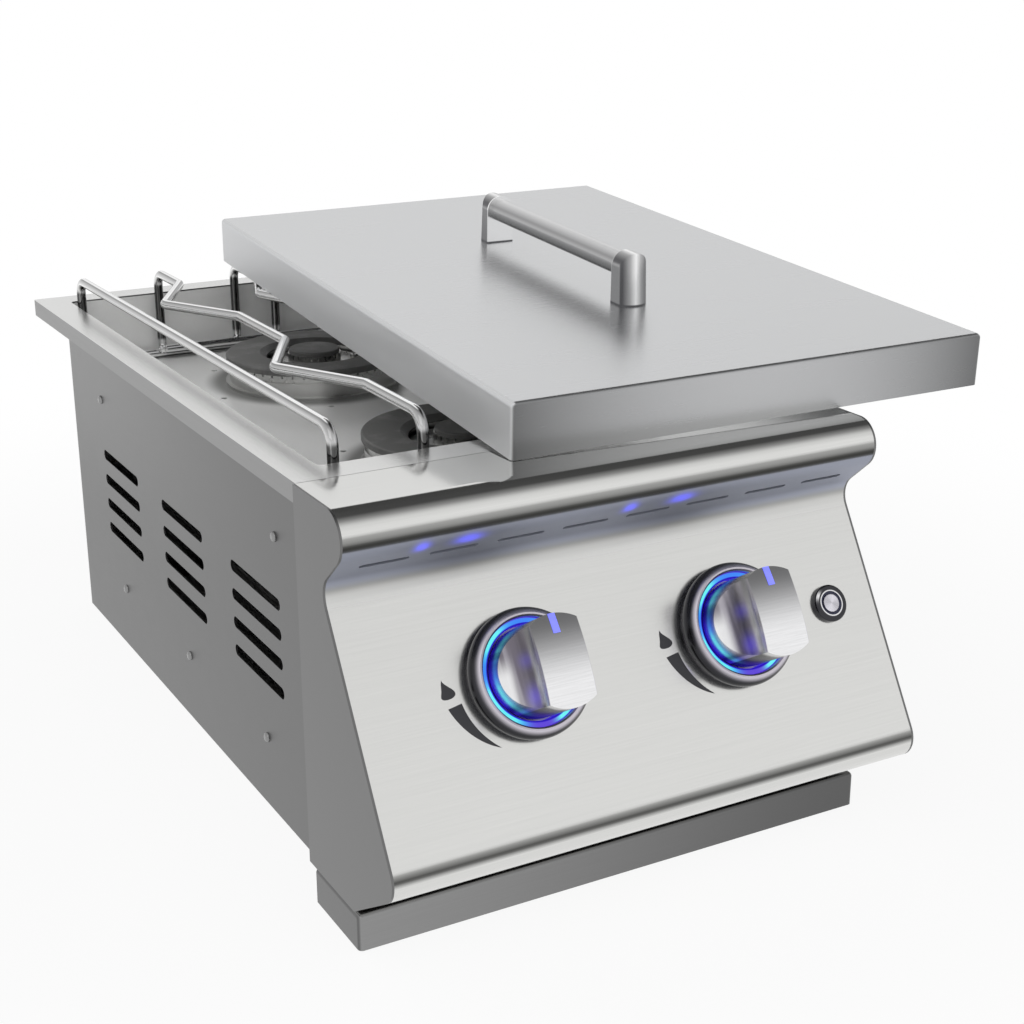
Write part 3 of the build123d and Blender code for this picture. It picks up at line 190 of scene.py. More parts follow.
class GrateLook(PropertyGroup):
    """Finish of the cooking grate and size of its weld beads."""

    rod: colour("Rod", "Polished steel of the rods", (0.97, 0.97, 0.97))
    roughness: share("Roughness", "Roughness of the polished rods", 0.10)
    rod_radius: length("Rod radius", "Radius of a rod", 0.0035)
    rod_reach: length("Outer legs", "From the middle to the outer legs", 0.082)
    rod_inner_reach: length("Inner legs", "From the middle to the inner legs", 0.0175)
    tie_rise: length("Tie rod rise", "Height of a tie rod over the feet", 0.004)
    bead_radius: length("Bead radius", "Radius of a weld bead", 0.0042)
    bead_ripple: share("Bead ripple", "Depth of a bead's ripples, as a share of its radius", 0.06)


class LidLook(PropertyGroup):
    """Finish of the lid and its handle."""

    sheet: colour("Lid sheet", "Brushed steel of the lid", (0.66, 0.666, 0.675))
    roughness: share("Roughness", "Roughness of the brushed lid", 0.27)
    half_width: length("Half width", "Half the width of the lid", 0.1675)
    # Painted shade: the front skirt is darkened, most at its ends.
    skirt_shaded_end: share("Skirt, ends", "Tone of the front skirt at its ends", 0.24)
    skirt_shaded_middle: share("Skirt, middle", "Tone of the front skirt in its middle", 0.72)
    bar: colour("Handle bar", "Satin metal of the bar", (0.69, 0.69, 0.695))
    # Painted reflection: the posts' dark side and bright streak.
    post_painted_dark: colour("Posts, dark", "Dark side of the chromed posts", (0.11, 0.11, 0.115))
    post_painted_light: colour("Posts, light", "Bright streak of the chromed posts", (0.92, 0.92, 0.92))
    # Painted shade: the dark line at a post's foot.
    post_foot: FloatProperty(
        name="Posts' foot line",
        description="Height of the dark line at a post's foot, from the handle's middle",
        unit="LENGTH",
        default=-0.0168,
    )
    post_inner: length("Posts' inner face", "From the handle's middle to a post", 0.0935)


class TrayLook(PropertyGroup):
    """Finish of the drip tray."""

    # Painted shade: the tray front is darkened, more to the right and at its ends.
    front: colour("Tray front", "Satin steel of the tray front, left", (0.275, 0.275, 0.275))
    front_right_shade: colour("Tray front, right", "Satin steel at the right", (0.118, 0.118, 0.118))
    end: colour("Tray ends", "Satin steel of the tray front's two ends", (0.14, 0.14, 0.14))
    pan: colour("Tray pan", "Plain steel of the tray pan", (0.42, 0.42, 0.42))


class GasLook(PropertyGroup):
    """Finish of the gas train and the ignition."""

    brass: colour("Brass", "Machined brass of the valves and fittings", (0.72, 0.50, 0.20))
    pipe: colour("Pipe", "Plain steel of the pipes", (0.40, 0.40, 0.40))
    plastic: colour("Plastic", "Black plastic of the ignition module", (0.02, 0.02, 0.022))
    rubber: colour("Rubber", "Sleeve of the ignition leads", (0.05, 0.04, 0.04))


class StageLook(PropertyGroup):
    """Floor, light and camera."""

    floor: colour("Floor", "Pale floor", (0.90, 0.90, 0.90))
    floor_radius: length("Floor radius", "Radius of the round floor", 16.0)
    floor_near: share("White near the part", "Share of plain white in the floor near the part", 0.90)
    sky: share("Sky", "Brightness of the even sky", 0.86)
    key_power: FloatProperty(
        name="Key light", description="Power of the key light", unit="POWER", default=6.0
    )
    camera_place: FloatVectorProperty(
        name="Camera place",
        description="Where the camera stands",
        subtype="TRANSLATION",
        unit="LENGTH",
        default=(-0.5083, -1.1081, 0.5508),
    )
    camera_pan: turn("Camera pan", "How far the camera looks to the right of the rear", 28.95)
    camera_tilt: turn("Camera tilt", "How far the camera looks down", 18.98)
    camera_roll: turn("Camera roll", "How far the camera leans", -0.23)
    lens: FloatProperty(
        name="Lens", description="Focal length on a 36 mm sensor", unit="CAMERA", default=61.46
    )


# Painted reflection on the panel's sheet, as its tone by height in metres: a dark line round the toe,
# full tone on the face, the dim slant over the cove, and a dark line along the nose's lower edge.
PANEL_PAINTED_TONES = (
    (0.0, 1.0), (0.0665, 1.0), (0.0700, 0.05), (0.0735, 0.45), (0.0750, 1.0),
    (0.2040, 1.0), (0.2080, 0.60), (0.2150, 0.45), (0.2370, 0.45), (0.2380, 0.05), (0.2405, 0.05),
    (0.2425, 0.35), (0.2450, 0.50), (0.2465, 1.0), (0.2580, 1.0),
)

# Heights on the panel, in metres, over which its cove, its slant and its nose begin.
COVE_START = (0.1960, 0.2040)
SLANT_START = (0.2065, 0.2125)
NOSE_START = (0.2365, 0.2395)

# Half the width of a handle post's bow, the width of a knob's light ring and the length of an
# electrode's bare tip, in metres.
POST_HALF = 0.0110
RING_WIDTH = 0.0037
TIP_LENGTH = 0.006

# Painted reflection: tone of a handle post across its bow, by the distance from its left edge in
# metres.
POST_PAINTED_TONES = (
    (0.0, 0.25), (0.0005, 0.25), (0.0010, 0.0), (0.0020, 0.0), (0.0060, 0.35), (0.0100, 0.95),
    (0.0140, 0.40), (0.0180, 0.15), (0.0220, 0.0),
)

# Painted reflection: tone of a grate rod by the upward part of its surface normal, counted from
# straight down.
ROD_PAINTED_TONES = (
    (0.0, 0.05), (0.4, 0.20), (0.7, 1.0), (1.0, 0.70), (1.7, 0.40), (1.85, 0.20), (1.9, 1.0),
    (2.0, 1.0),
)

# Painted reflection: tone of a grate leg by the part of its normal to the right, counted from
# straight left.
LEG_PAINTED_TONES = (
    (0.0, 0.10), (0.2, 0.10), (0.4, 0.40), (0.5, 0.15), (1.0, 0.10), (1.5, 0.15), (2.0, 0.40),
)

# Painted reflection: tone of the handle bar by the upward part of its normal, counted from straight
# down.
BAR_PAINTED_TONES = ((0.0, 0.15), (0.5, 0.20), (1.2, 0.60), (1.5, 0.45), (2.0, 1.0))

# Painted light of lamps, as blue emission spots on the slant: place along X and half width, in
# metres.
PAINTED_GLOW_SPOTS = ((-0.128, 0.0042), (-0.100, 0.0075), (0.003, 0.0042), (0.038, 0.0075))

# Hot spots of a light ring: angle round the knob from its top, half width and strength.
RING_SPOTS = (
    (-0.73, 0.30, 1.0), (-1.95, 0.26, 1.0), (-2.44, 0.22, 0.6), (2.70, 0.16, 0.8), (0.85, 0.30, 0.8),
)

# The key light: where it stands, what it is aimed at, and its side, in metres.
KEY_PLACE = (-1.6, -2.0, 2.6)
KEY_AIM = (0.0, -0.1, 0.15)
KEY_SIZE = 2.4

# Brightness of the canopy's side of the surround by the angle over the rear horizon, in degrees:
# pale behind, dark overhead and pale in front.
SURROUND = (
    (0.0, 0.60), (24.0, 1.0), (35.0, 1.0), (38.0, 0.06), (90.0, 0.08), (110.0, 0.33), (130.0, 0.85),
    (150.0, 1.0), (180.0, 1.0),
)


class Shade:
    """A socket of a node tree that Python's arithmetic works on.

    An expression such as 1 - mask * 0.5 adds the Math nodes that work it out.
    """

    def __init__(self, tree, socket=None):
        self.tree = tree
        self.socket = socket

    def node(self, kind, settings, sockets, out=0):
        """Add a node: its settings first, then the values or links of its sockets."""
        made = self.tree.nodes.new(kind)
        for key, value in settings.items():
            if key == "stops":
                ramp = made.color_ramp.elements
                while len(ramp) < len(value):
                    ramp.new(1.0)
                for stop, (position, shown) in zip(ramp, value):
                    stop.position = position
                    stop.color = shown
            else:
                setattr(made, key, value)
        for key, value in sockets.items():
            if isinstance(value, Shade):
                self.tree.links.new(value.socket, made.inputs[key])
            else:
                made.inputs[key].default_value = value
        return Shade(self.tree, made.outputs[out])

    def math(self, operation, first, second=0.0):
        """Add one Math node."""
        return self.node("ShaderNodeMath", {"operation": operation}, {0: first, 1: second})

    def vector(self, operation, first, second=(0.0, 0.0, 0.0), out=0):
        """Add one Vector Math node."""
        return self.node("ShaderNodeVectorMath", {"operation": operation}, {0: first, 1: second}, out)

    def __add__(self, other):
        return self.math("ADD", self, other)

    def __radd__(self, other):
        return self.math("ADD", other, self)

    def __sub__(self, other):
        return self.math("SUBTRACT", self, other)

    def __rsub__(self, other):
        return self.math("SUBTRACT", other, self)

    def __mul__(self, other):
        return self.math("MULTIPLY", self, other)

    def __rmul__(self, other):
        return self.math("MULTIPLY", other, self)

    def __truediv__(self, other):
        return self.math("DIVIDE", self, other)

    def ease(self, low, high):
        """0 below low, 1 above high and smooth between them."""
        return self.node(
            "ShaderNodeMapRange",
            {"interpolation_type": "SMOOTHSTEP"},
            {"Value": self, "From Min": low, "From Max": high},
        )

    def bell(self, middle, width):
        """1 at the middle, falling off on both sides as a bell curve does."""
        step = (self - middle) / width
        return self.math("POWER", math.e, step * step * -1.0)

    def levels(self, stops):
        """A level that runs straight between (value, level) stops."""
        span = stops[-1][0]
        marks = [(value / span, (level, level, level, 1.0)) for value, level in stops]
        return self.node("ShaderNodeValToRGB", {"stops": marks}, {"Fac": self / span})


def rgba(shown):
    """A colour with full opacity."""
    return (shown[0], shown[1], shown[2], 1.0)


def toned(shown, factor):
    """The colour made lighter or darker, still within 0 to 1."""
    return tuple(min(1.0, max(0.0, part * factor)) for part in shown)


def blank_finish(name):
    """A material with one Principled shader: the material, a Shade to start from, the shader."""
    material = bpy.data.materials.new(name)
    material.use_nodes = True
    tree = material.node_tree
    tree.nodes.clear()
    output = tree.nodes.new("ShaderNodeOutputMaterial")
    shader = tree.nodes.new("ShaderNodeBsdfPrincipled")
    tree.links.new(shader.outputs["BSDF"], output.inputs["Surface"])
    return material, Shade(tree), shader


def feed(shader, sockets):
    """Set or link the shader's sockets."""
    for key, value in sockets.items():
        if isinstance(value, Shade):
            value.tree.links.new(value.socket, shader.inputs[key])
        else:
            shader.inputs[key].default_value = value


def place(start):
    """The point on the piece, in the part's own frame."""
    return start.node("ShaderNodeTexCoord", {}, {}, "Object")


def reach(start, centre, direction):
    """How far each point of a piece lies from a centre, along a direction."""
    local = start.vector("SUBTRACT", place(start), tuple(centre))
    return start.vector("DOT_PRODUCT", local, tuple(direction), "Value")


def facing(start, direction):
    """How far the surface faces a direction: 1 towards it, -1 away from it."""
    normal = start.node("ShaderNodeNewGeometry", {}, {}, "Normal")
    return start.vector("DOT_PRODUCT", normal, tuple(direction), "Value")


def noise(start, scale, detail=3.0, shift=(0.0, 0.0, 0.0)):
    """Noise around 0.5, with its own scale along each axis, in features per metre."""
    mapped = start.node(
        "ShaderNodeMapping", {}, {"Vector": place(start), "Location": shift, "Scale": scale}
    )
    return start.node(
        "ShaderNodeTexNoise", {}, {"Vector": mapped, "Scale": 1.0, "Detail": detail, "Roughness": 0.6}
    )


def grain_scale(along, fine, coarse):
    """Scale of a brushed grain: fine across it and coarse along the axis named."""
    return tuple(coarse if axis == along else fine for axis in "XYZ")


def brushed_grain(start, along, fine, coarse, balance):
    """Fine and coarse streaks along an axis; each pair is the scale across them and along them."""
    thin = noise(start, grain_scale(along, *fine), 2.0)
    broad = noise(start, grain_scale(along, *coarse), 2.0, (3.0, 7.0, 1.0))
    return thin * balance + broad * (1.0 - balance)


def mill_grain(start):
    """A faint mottle, and the tone that it gives together with short rolling lines."""
    mottle = noise(start, (60.0, 60.0, 60.0), 4.0)
    roll = noise(start, (40.0, 40.0, 700.0), 2.0, (2.0, 1.0, 4.0))
    return mottle, mottle * 0.5 + roll * 0.5


def bump(start, height, strength, distance):
    """A normal that is tilted by a height map."""
    return start.node(
        "ShaderNodeBump", {}, {"Height": height, "Strength": strength, "Distance": distance}, "Normal"
    )


def mixed(start, factor, first, second):
    """Mix two colours by a factor between 0 and 1; the Mix node keeps its colours at 6 and 7."""
    first = first if isinstance(first, Shade) else rgba(first)
    second = second if isinstance(second, Shade) else rgba(second)
    return start.node("ShaderNodeMix", {"data_type": "RGBA"}, {0: factor, 6: first, 7: second}, 2)


def brushed_steel(name, shown, along, roughness):
    """Sheet steel brushed along one axis.

    Fine and coarse streaks lie along the axis. They shade the colour, spread the gloss and groove
    the surface; a slow cloud leaves the gloss uneven, as wiping does.
    """
    material, start, shader = blank_finish(name)
    streak = brushed_grain(start, along, (1500.0, 14.0), (260.0, 5.0), 0.6)
    cloud = noise(start, (9.0, 9.0, 9.0), 2.0, (1.0, 2.0, 5.0))
    feed(shader, {
        "Base Color": mixed(start, streak, toned(shown, 0.94), toned(shown, 1.06)),
        "Metallic": 1.0,
        "Roughness": roughness - 0.07 + streak * 0.10 + cloud * 0.04,
        "Normal": bump(start, streak, 0.02, 0.0002),
    })
    return material


def plain_steel(name, shown, roughness):
    """Mill-finish sheet: an even grey with a faint mottle and short rolling lines."""
    material, start, shader = blank_finish(name)
    mottle, tone = mill_grain(start)
    feed(shader, {
        "Base Color": mixed(start, tone, toned(shown, 0.90), toned(shown, 1.10)),
        "Metallic": 1.0,
        "Roughness": roughness - 0.05 + tone * 0.10,
        "Normal": bump(start, mottle, 0.02, 0.0003),
    })
    return material


def polished_steel(name, shown, roughness):
    """Polished or plated metal: a clear gloss with a slight waviness and faint wipe marks."""
    material, start, shader = blank_finish(name)
    swell = noise(start, (28.0, 28.0, 28.0), 2.0)
    wipe = noise(start, (300.0, 90.0, 160.0), 3.0, (5.0, 3.0, 2.0))
    feed(shader, {
        "Base Color": mixed(start, wipe, toned(shown, 0.95), toned(shown, 1.05)),
        "Metallic": 1.0,
        "Roughness": roughness - 0.03 + wipe * 0.06,
        "Normal": bump(start, swell, 0.03, 0.002),
    })
    return material


def facing_chrome(name, shown, roughness, tones, leg=None):
    """Chrome of a round rod: its tone, a painted reflection, follows how far the surface faces up.

    With leg given, the upright part between those two heights is dark with pale streaks, painted
    reflection too.
    """
    material, start, shader = blank_finish(name)
    # Painted reflection: the tone by facing stands for what the chrome mirrors.
    tone = (facing(start, UP) + 1.0).levels(tones)
    if leg:
        foot, top = leg
        rise = reach(start, ORIGIN, UP)
        upright = rise.ease(foot, foot + 0.003) * (1.0 - rise.ease(top - 0.004, top))
        streaks = (facing(start, RIGHT) + 1.0).levels(LEG_PAINTED_TONES)
        tone = tone + (streaks - tone) * upright
    feed(shader, {
        "Base Color": mixed(start, tone, BLACK, shown),
        "Metallic": 1.0,
        "Roughness": roughness,
    })
    return material


def black_enamel(name, shown):
    """Fired black enamel: a fine pebbled skin, dull, with paler dust in patches."""
    material, start, shader = blank_finish(name)
    pebble = noise(start, (1100.0, 1100.0, 1100.0), 2.0)
    dust = noise(start, (45.0, 45.0, 45.0), 4.0, (2.0, 6.0, 3.0))
    feed(shader, {
        "Base Color": mixed(start, dust.ease(0.45, 0.8) * 0.5, shown, toned(shown, 2.6)),
        "Roughness": 0.46 + pebble * 0.16,
        "Normal": bump(start, pebble, 0.25, 0.0003),
        "Specular IOR Level": 0.45,
    })
    return material


def moulded(name, shown, roughness):
    """Moulded plastic, rubber or print: an even colour with a fine grain."""
    material, start, shader = blank_finish(name)
    pebble = noise(start, (900.0, 900.0, 900.0), 2.0)
    feed(shader, {
        "Base Color": mixed(start, pebble, toned(shown, 0.85), toned(shown, 1.15)),
        "Roughness": roughness - 0.05 + pebble * 0.10,
        "Normal": bump(start, pebble, 0.08, 0.0002),
    })
    return material


def electrode_finish(name, ceramic, steel, split):
    """A glazed ceramic body with a steel tip: the change is at one height."""
    material, start, shader = blank_finish(name)
    tip = reach(start, ORIGIN, UP).ease(split - 0.0004, split + 0.0004)
    stain = noise(start, (200.0, 200.0, 90.0), 3.0)
    glaze = mixed(start, stain, toned(ceramic, 0.86), toned(ceramic, 1.06))
    feed(shader, {
        "Base Color": mixed(start, tip, glaze, steel),
        "Metallic": tip,
        "Roughness": 0.22 + tip * 0.15 + stain * 0.06,
    })
    return material


def around(start, centre, axis, up):
    """Distance from an axis, and angle round it from up, of each point of a piece."""
    across = reach(start, centre, Vector(up).cross(Vector(axis)))
    along = reach(start, centre, up)
    distance = start.math("SQRT", across * across + along * along)
    return distance, start.math("ARCTAN2", across, along)


def pan_satin(look):
    """Satin steel of the pan: a soft gloss that lights up in the well, painted reflection and shade
    round the burners.
    """
    material, start, shader = blank_finish("pan_satin")
    wipe = noise(start, (240.0, 14.0, 240.0), 2.0)
    cloud = noise(start, (14.0, 14.0, 14.0), 2.0, (1.0, 2.0, 5.0))
    sheet = mixed(start, wipe * 0.6 + cloud * 0.4, toned(look.pan, 0.95), toned(look.pan, 1.04))
    for spot in PLACES:
        low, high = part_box(f"{spot}_burner_base")
        away, _ = around(start, (low + high) / 2, UP, REAR)
        foot = (high.x - low.x) / 2
        # Painted reflection and shade: a dark ring round each burner's foot.
        painted_dark_ring = 1.0 - away.ease(foot + 0.004, foot + look.painted_dark_ring)
        sheet = mixed(start, painted_dark_ring * 0.80, sheet, (0.05, 0.05, 0.045))
    feed(shader, {
        "Base Color": sheet,
        "Metallic": look.pan_metal,
        "Roughness": look.pan_roughness - 0.04 + wipe * 0.08,
        "Normal": bump(start, wipe, 0.01, 0.0002),
    })
    return material


def deck_steel(look):
    """Brushed steel of the flange: streaks along Y, and an outer lip darkened as painted shade."""
    material, start, shader = blank_finish("deck_steel")
    streak = brushed_grain(start, "Y", (1500.0, 14.0), (320.0, 5.0), 0.7)
    # Painted shade: where the flange faces sideways it takes the darker lip colour.
    lip = 1.0 - start.math("ABSOLUTE", facing(start, UP)).ease(0.3, 0.8)
    sheet = mixed(start, streak, toned(look.deck, 0.93), toned(look.deck, 1.07))
    feed(shader, {
        "Base Color": mixed(start, lip, sheet, look.lip),
        "Metallic": 1.0,
        "Roughness": 0.20 + streak * 0.10 + lip * 0.10,
        "Normal": bump(start, streak, 0.02, 0.0002),
    })
    return material


def side_steel(look):
    """Mill-finish sheet of the two sides: rolling lines, and painted light paler towards the upper
    rear edge.
    """
    material, start, shader = blank_finish("side_steel")
    mottle, tone = mill_grain(start)
    # Painted light: the upper rear of the sides is made lighter.
    rear = reach(start, ORIGIN, REAR).ease(-0.20, 0.25)
    upper = reach(start, ORIGIN, UP).ease(0.08, 0.24)
    low = mixed(start, tone, toned(look.side, 0.78), toned(look.side, 0.96))
    high = mixed(start, tone, toned(look.side, 1.18), toned(look.side, 1.40))
    feed(shader, {
        "Base Color": mixed(start, rear * upper, low, high),
        "Metallic": 1.0,
        "Roughness": look.roughness - 0.05 + tone * 0.10,
        "Normal": bump(start, mottle, 0.02, 0.0003),
    })
    return material


def tray_satin(look):
    """Satin steel of the tray front: brushed along X, with painted shade darker to the right and at
    both ends.
    """
    material, start, shader = blank_finish("tray_satin")
    streak = noise(start, grain_scale("X", 900.0, 10.0), 2.0)
    # Painted shade: the ends by their facing and the right by its place.
    end = start.math("ABSOLUTE", facing(start, RIGHT)).ease(0.5, 0.9)
    right = reach(start, ORIGIN, RIGHT).ease(-0.20, 0.20)
    sheet = mixed(start, streak, toned(look.front, 0.93), toned(look.front, 1.07))
    sheet = mixed(start, right, sheet, look.front_right_shade)
    feed(shader, {
        "Base Color": mixed(start, end, sheet, look.end),
        "Metallic": 1.0,
        "Roughness": 0.26 + streak * 0.08,
        "Normal": bump(start, streak, 0.02, 0.0002),
    })
    return material


def panel_steel(look):
    """Brushed steel of the folded panel.

    The streaks lie along X. The tone follows the height as a painted reflection, the slant under
    the nose takes a blue tint as a painted reflection, and painted light of the lamps falls on the
    slant in soft spots.
    """
    material, start, shader = blank_finish("panel_steel")
    streak = brushed_grain(start, "X", (1500.0, 16.0), (420.0, 7.0), 0.75)
    across = reach(start, ORIGIN, RIGHT)
    height = reach(start, ORIGIN, UP)
    nose = height.ease(*NOSE_START)
    slant = height.ease(*SLANT_START) * (1.0 - nose)
    cove = height.ease(*COVE_START) * (1.0 - nose)
    sheet = mixed(start, streak, toned(look.sheet, 0.93), toned(look.sheet, 1.07))
    # Painted reflection: a blue tint over the slant.
    tinted = mixed(start, slant, sheet, look.slant)
    # Painted light: soft spots of blue emission on the slant.
    spots = sum(across.bell(middle, width) for middle, width in PAINTED_GLOW_SPOTS)
    painted_glow = spots * height.bell(look.painted_glow_height, 0.0032)
    # Painted reflection: the tone by height darkens the rolls and the slant.
    feed(shader, {
        "Base Color": mixed(start, height.levels(PANEL_PAINTED_TONES), look.dark, tinted),
        "Metallic": 1.0,
        "Roughness": look.roughness - 0.05 + streak * 0.10 + cove * 0.40 - nose * 0.09,
        "Normal": bump(start, streak, 0.02, 0.0002),
        "Emission Color": mixed(start, painted_glow, BLACK, look.painted_glow),
        "Emission Strength": 1.0,
    })
    return material


def lid_steel(look, centre, along, across):
    """Brushed steel of the lid: streaks across it, and a front skirt whose painted shade deepens to
    its ends.
    """
    material, start, shader = blank_finish("lid_steel")
    streak = brushed_grain(start, "X", (1400.0, 10.0), (200.0, 4.0), 0.5)
    # Painted shade on the front skirt; painted light: the side skirts are a little lighter.
    front = (facing(start, along) * -1.0).ease(0.5, 0.9)
    flank = start.math("ABSOLUTE", facing(start, across)).ease(0.5, 0.9)
    side = reach(start, centre, across) / look.half_width
    fall = (look.skirt_shaded_middle - look.skirt_shaded_end) * side * side
    sheet = mixed(start, streak, toned(look.sheet, 0.985), toned(look.sheet, 1.015))
    skin = mixed(start, flank, sheet, toned(look.sheet, 1.04))
    feed(shader, {
        "Base Color": mixed(start, front * (1.0 - look.skirt_shaded_middle + fall), skin, BLACK),
        "Metallic": 1.0,
        "Roughness": look.roughness - 0.015 + streak * 0.03 + flank * 0.25,
        "Normal": bump(start, streak, 0.002, 0.0002),
    })
    return material


def post_chrome(look, centre, along, across):
    """Chrome of the handle posts: a painted bright streak down the bow and a painted bright inner
    face.
    """
    material, start, shader = blank_finish("post_chrome")
    side = reach(start, centre, across)
    run = start.math("ABSOLUTE", reach(start, centre, along))
    wipe = noise(start, (300.0, 90.0, 160.0), 3.0, (5.0, 3.0, 2.0))
    # Painted highlight on the post's inner face.
    inner = 1.0 - run.ease(look.post_inner + 0.0003, look.post_inner + 0.0012)
    streak = start.math("MAXIMUM", (side + POST_HALF).levels(POST_PAINTED_TONES), inner)
    # Painted shade: below the foot line the post is dark.
    rise = reach(start, centre, across.cross(along))
    streak = streak * rise.ease(look.post_foot, look.post_foot + 0.0008)
    feed(shader, {
        "Base Color": mixed(start, streak, look.post_painted_dark, look.post_painted_light),
        "Metallic": 1.0,
        "Roughness": 0.12 + wipe * 0.08,
    })
    return material


def knob_satin(name, knob, look):
    """Satin metal of a knob.

    The blade is brushed across and runs from dark at its top to bright at its foot, a painted
    reflection, with painted shade under its foot. The scooped sides carry long streaks, a painted
    highlight on the outer edge and the ring's blue light near the blade as painted light.
    """
    material, start, shader = blank_finish(name)
    right = Vector(knob["up"]).cross(Vector(knob["axis"]))
    side = start.math("ABSOLUTE", reach(start, knob["centre"], right))
    rise = reach(start, knob["centre"], knob["up"])
    brush = noise(start, grain_scale("X", 1600.0, 30.0), 2.0)
    streaks = noise(start, (230.0, 8.0, 8.0), 2.0, (4.0, 1.0, 2.0))
    scoop = side.ease(look.blade_half - 0.0003, look.blade_half + 0.0003)
    out = reach(start, knob["centre"], knob["axis"])
    # Painted shade under the blade's foot; painted reflection from the dark top to the bright foot.
    under = (1.0 - out.ease(0.040, 0.046)) * (1.0 - rise.ease(-0.022, -0.018))
    blade = mixed(start, rise.ease(-0.014, 0.022), look.blade_painted_bright, look.blade_painted_dark)
    blade = mixed(start, brush.ease(0.30, 0.70) * 0.10, blade, look.blade_painted_dark)
    blade = mixed(start, under, blade, look.under)
    flank = mixed(start, streaks.ease(0.36, 0.66), look.scoop_dark, look.scoop_light)
    # Painted highlight: the scoop's lower outer edge takes the blade's bright colour.
    edge = side.ease(0.0185, 0.0225) * (1.0 - rise.ease(-0.002, 0.012))
    flank = mixed(start, edge, flank, look.blade_painted_bright)
    # Painted light: the ring's blue light on the scoop next to the blade, as emission.
    lit = side.bell(look.blade_half + 0.0010, 0.0018)
    lit = lit * (rise.bell(-0.015, 0.006) + rise.bell(0.005, 0.004) * 0.5)
    feed(shader, {
        "Base Color": mixed(start, scoop, blade, flank),
        "Metallic": 1.0,
        "Roughness": look.knob_roughness - 0.05 + brush * 0.10,
        "Normal": bump(start, brush, 0.03, 0.0002),
        "Emission Color": mixed(start, lit * scoop, BLACK, look.scoop_painted_glow),
        "Emission Strength": 0.6,
    })
    return material


def bezel_metal(name, knob, look):
    """Plated metal of a knob's bezel: a pale rim that darkens to black over the flank, as painted
    reflection.
    """
    material, start, shader = blank_finish(name)
    distance, _ = around(start, **knob)
    wipe = noise(start, (300.0, 160.0, 160.0), 3.0, (5.0, 3.0, 2.0))
    # Painted reflection: pale rim to dark flank by the distance from the axis.
    dark = distance.ease(look.rim_radius, look.flank_radius)
    feed(shader, {
        "Base Color": mixed(start, dark, look.rim, look.flank),
        "Metallic": 1.0,
        "Roughness": 0.34 + wipe * 0.08 - dark * 0.14,
    })
    return material


def switch_chrome(switch, look):
    """Chrome of the switch body: bright inner rim, painted dark bead, painted glint at its upper
    left.
    """
    material, start, shader = blank_finish("switch_chrome")
    distance, angle = around(start, **switch)
    wipe = noise(start, (300.0, 160.0, 160.0), 3.0)
    # Painted reflection: outside the rim the bead is dark.
    dark = distance.ease(look.rim_radius - 0.0003, look.rim_radius + 0.0003)
    # Painted highlight: a glint on the bead's crest at its upper left.
    crest = distance.ease(0.0090, 0.0094) * (1.0 - distance.ease(0.0108, 0.0112))
    glint = angle.bell(-0.95, 0.26) * crest
    bead = mixed(start, glint, look.bezel, look.rim)
    feed(shader, {
        "Base Color": mixed(start, dark, look.rim, bead),
        "Metallic": 1.0,
        "Roughness": 0.13 + wipe * 0.08,
    })
    return material


def switch_satin(switch, look):
    """Satin metal of the button, brushed outwards from its middle, with a painted sheen on two
    opposite sides.
    """
    material, start, shader = blank_finish("switch_satin")
    _, angle = around(start, **switch)
    rays = start.math("SINE", angle * 23.0) * start.math("SINE", angle * 7.0 + 1.0)
    # Painted sheen: two opposite sides of the button are lighter.
    painted_sheen = start.math("COSINE", angle * 2.0 - 1.1) * 0.5 + 0.5
    tone = painted_sheen * 0.7 + rays * 0.15 + 0.15
    feed(shader, {
        "Base Color": mixed(start, tone, toned(look.button, 0.72), toned(look.button, 1.2)),
        "Metallic": 1.0,
        "Roughness": 0.30 + rays * 0.05,
    })
    return material


def light_ring(name, knob, look, inner, outer):
    """A lit ring: a deep band inside, a clear band with lamps' hot spots, a thin line outside.

    The bands follow the distance from the knob's axis and the spots the angle round it.
    """
    material, start, shader = blank_finish(name)
    distance, angle = around(start, **knob)
    t = (distance - inner) / (outer - inner)
    band = t.ease(0.24, 0.32)
    low = start.math("COSINE", angle) * -1.0
    clear = mixed(start, low.ease(0.86, 1.0), look.light_middle, look.light_outer)
    spot = sum(angle.bell(middle, width) * strength for middle, width, strength in RING_SPOTS)
    spot = spot * 1.7 * t.ease(0.28, 0.42) * (1.0 - t.ease(0.86, 0.95))
    bright = mixed(start, spot, clear, look.light_spot)
    deep = mixed(start, band, look.light_inner, bright)
    shown = mixed(start, t.ease(0.90, 0.96), deep, look.light_outer)
    feed(shader, {
        "Base Color": mixed(start, t, (0.02, 0.03, 0.10), (0.05, 0.06, 0.16)),
        "Roughness": 0.30,
        "Emission Color": shown,
        "Emission Strength": 1.0,
    })
    return material


def lit_line(name, shown):
    """A lit plastic line whose brightness varies a little in a cloud."""
    material, start, shader = blank_finish(name)
    cloud = noise(start, (220.0, 220.0, 220.0), 2.0)
    feed(shader, {
        "Base Color": rgba(toned(shown, 0.6)),
        "Roughness": 0.35,
        "Emission Color": mixed(start, cloud, toned(shown, 0.75), toned(shown, 1.2)),
        "Emission Strength": 0.9,
    })
    return material


def dress(material, *nodes):
    """Give CAD nodes a finish."""
    for name in nodes:
        node = frame["nodes"][name]
        if not node.material_slots:
            node.data.materials.append(material)
        for material_slot in node.material_slots:
            material_slot.material = material


def knob_place(hand):
    """Where a knob stands on the panel: centre, axis out of the panel, and up along it."""
    joint = joints[f"{hand}_knob_turn"]
    axis = Vector(joint["axis"]).normalized()
    if axis.y > 0:
        axis.negate()
    up = Vector((0.0, axis.z, -axis.y))
    return {"centre": Vector(joint["pos_m"]), "axis": axis, "up": up}


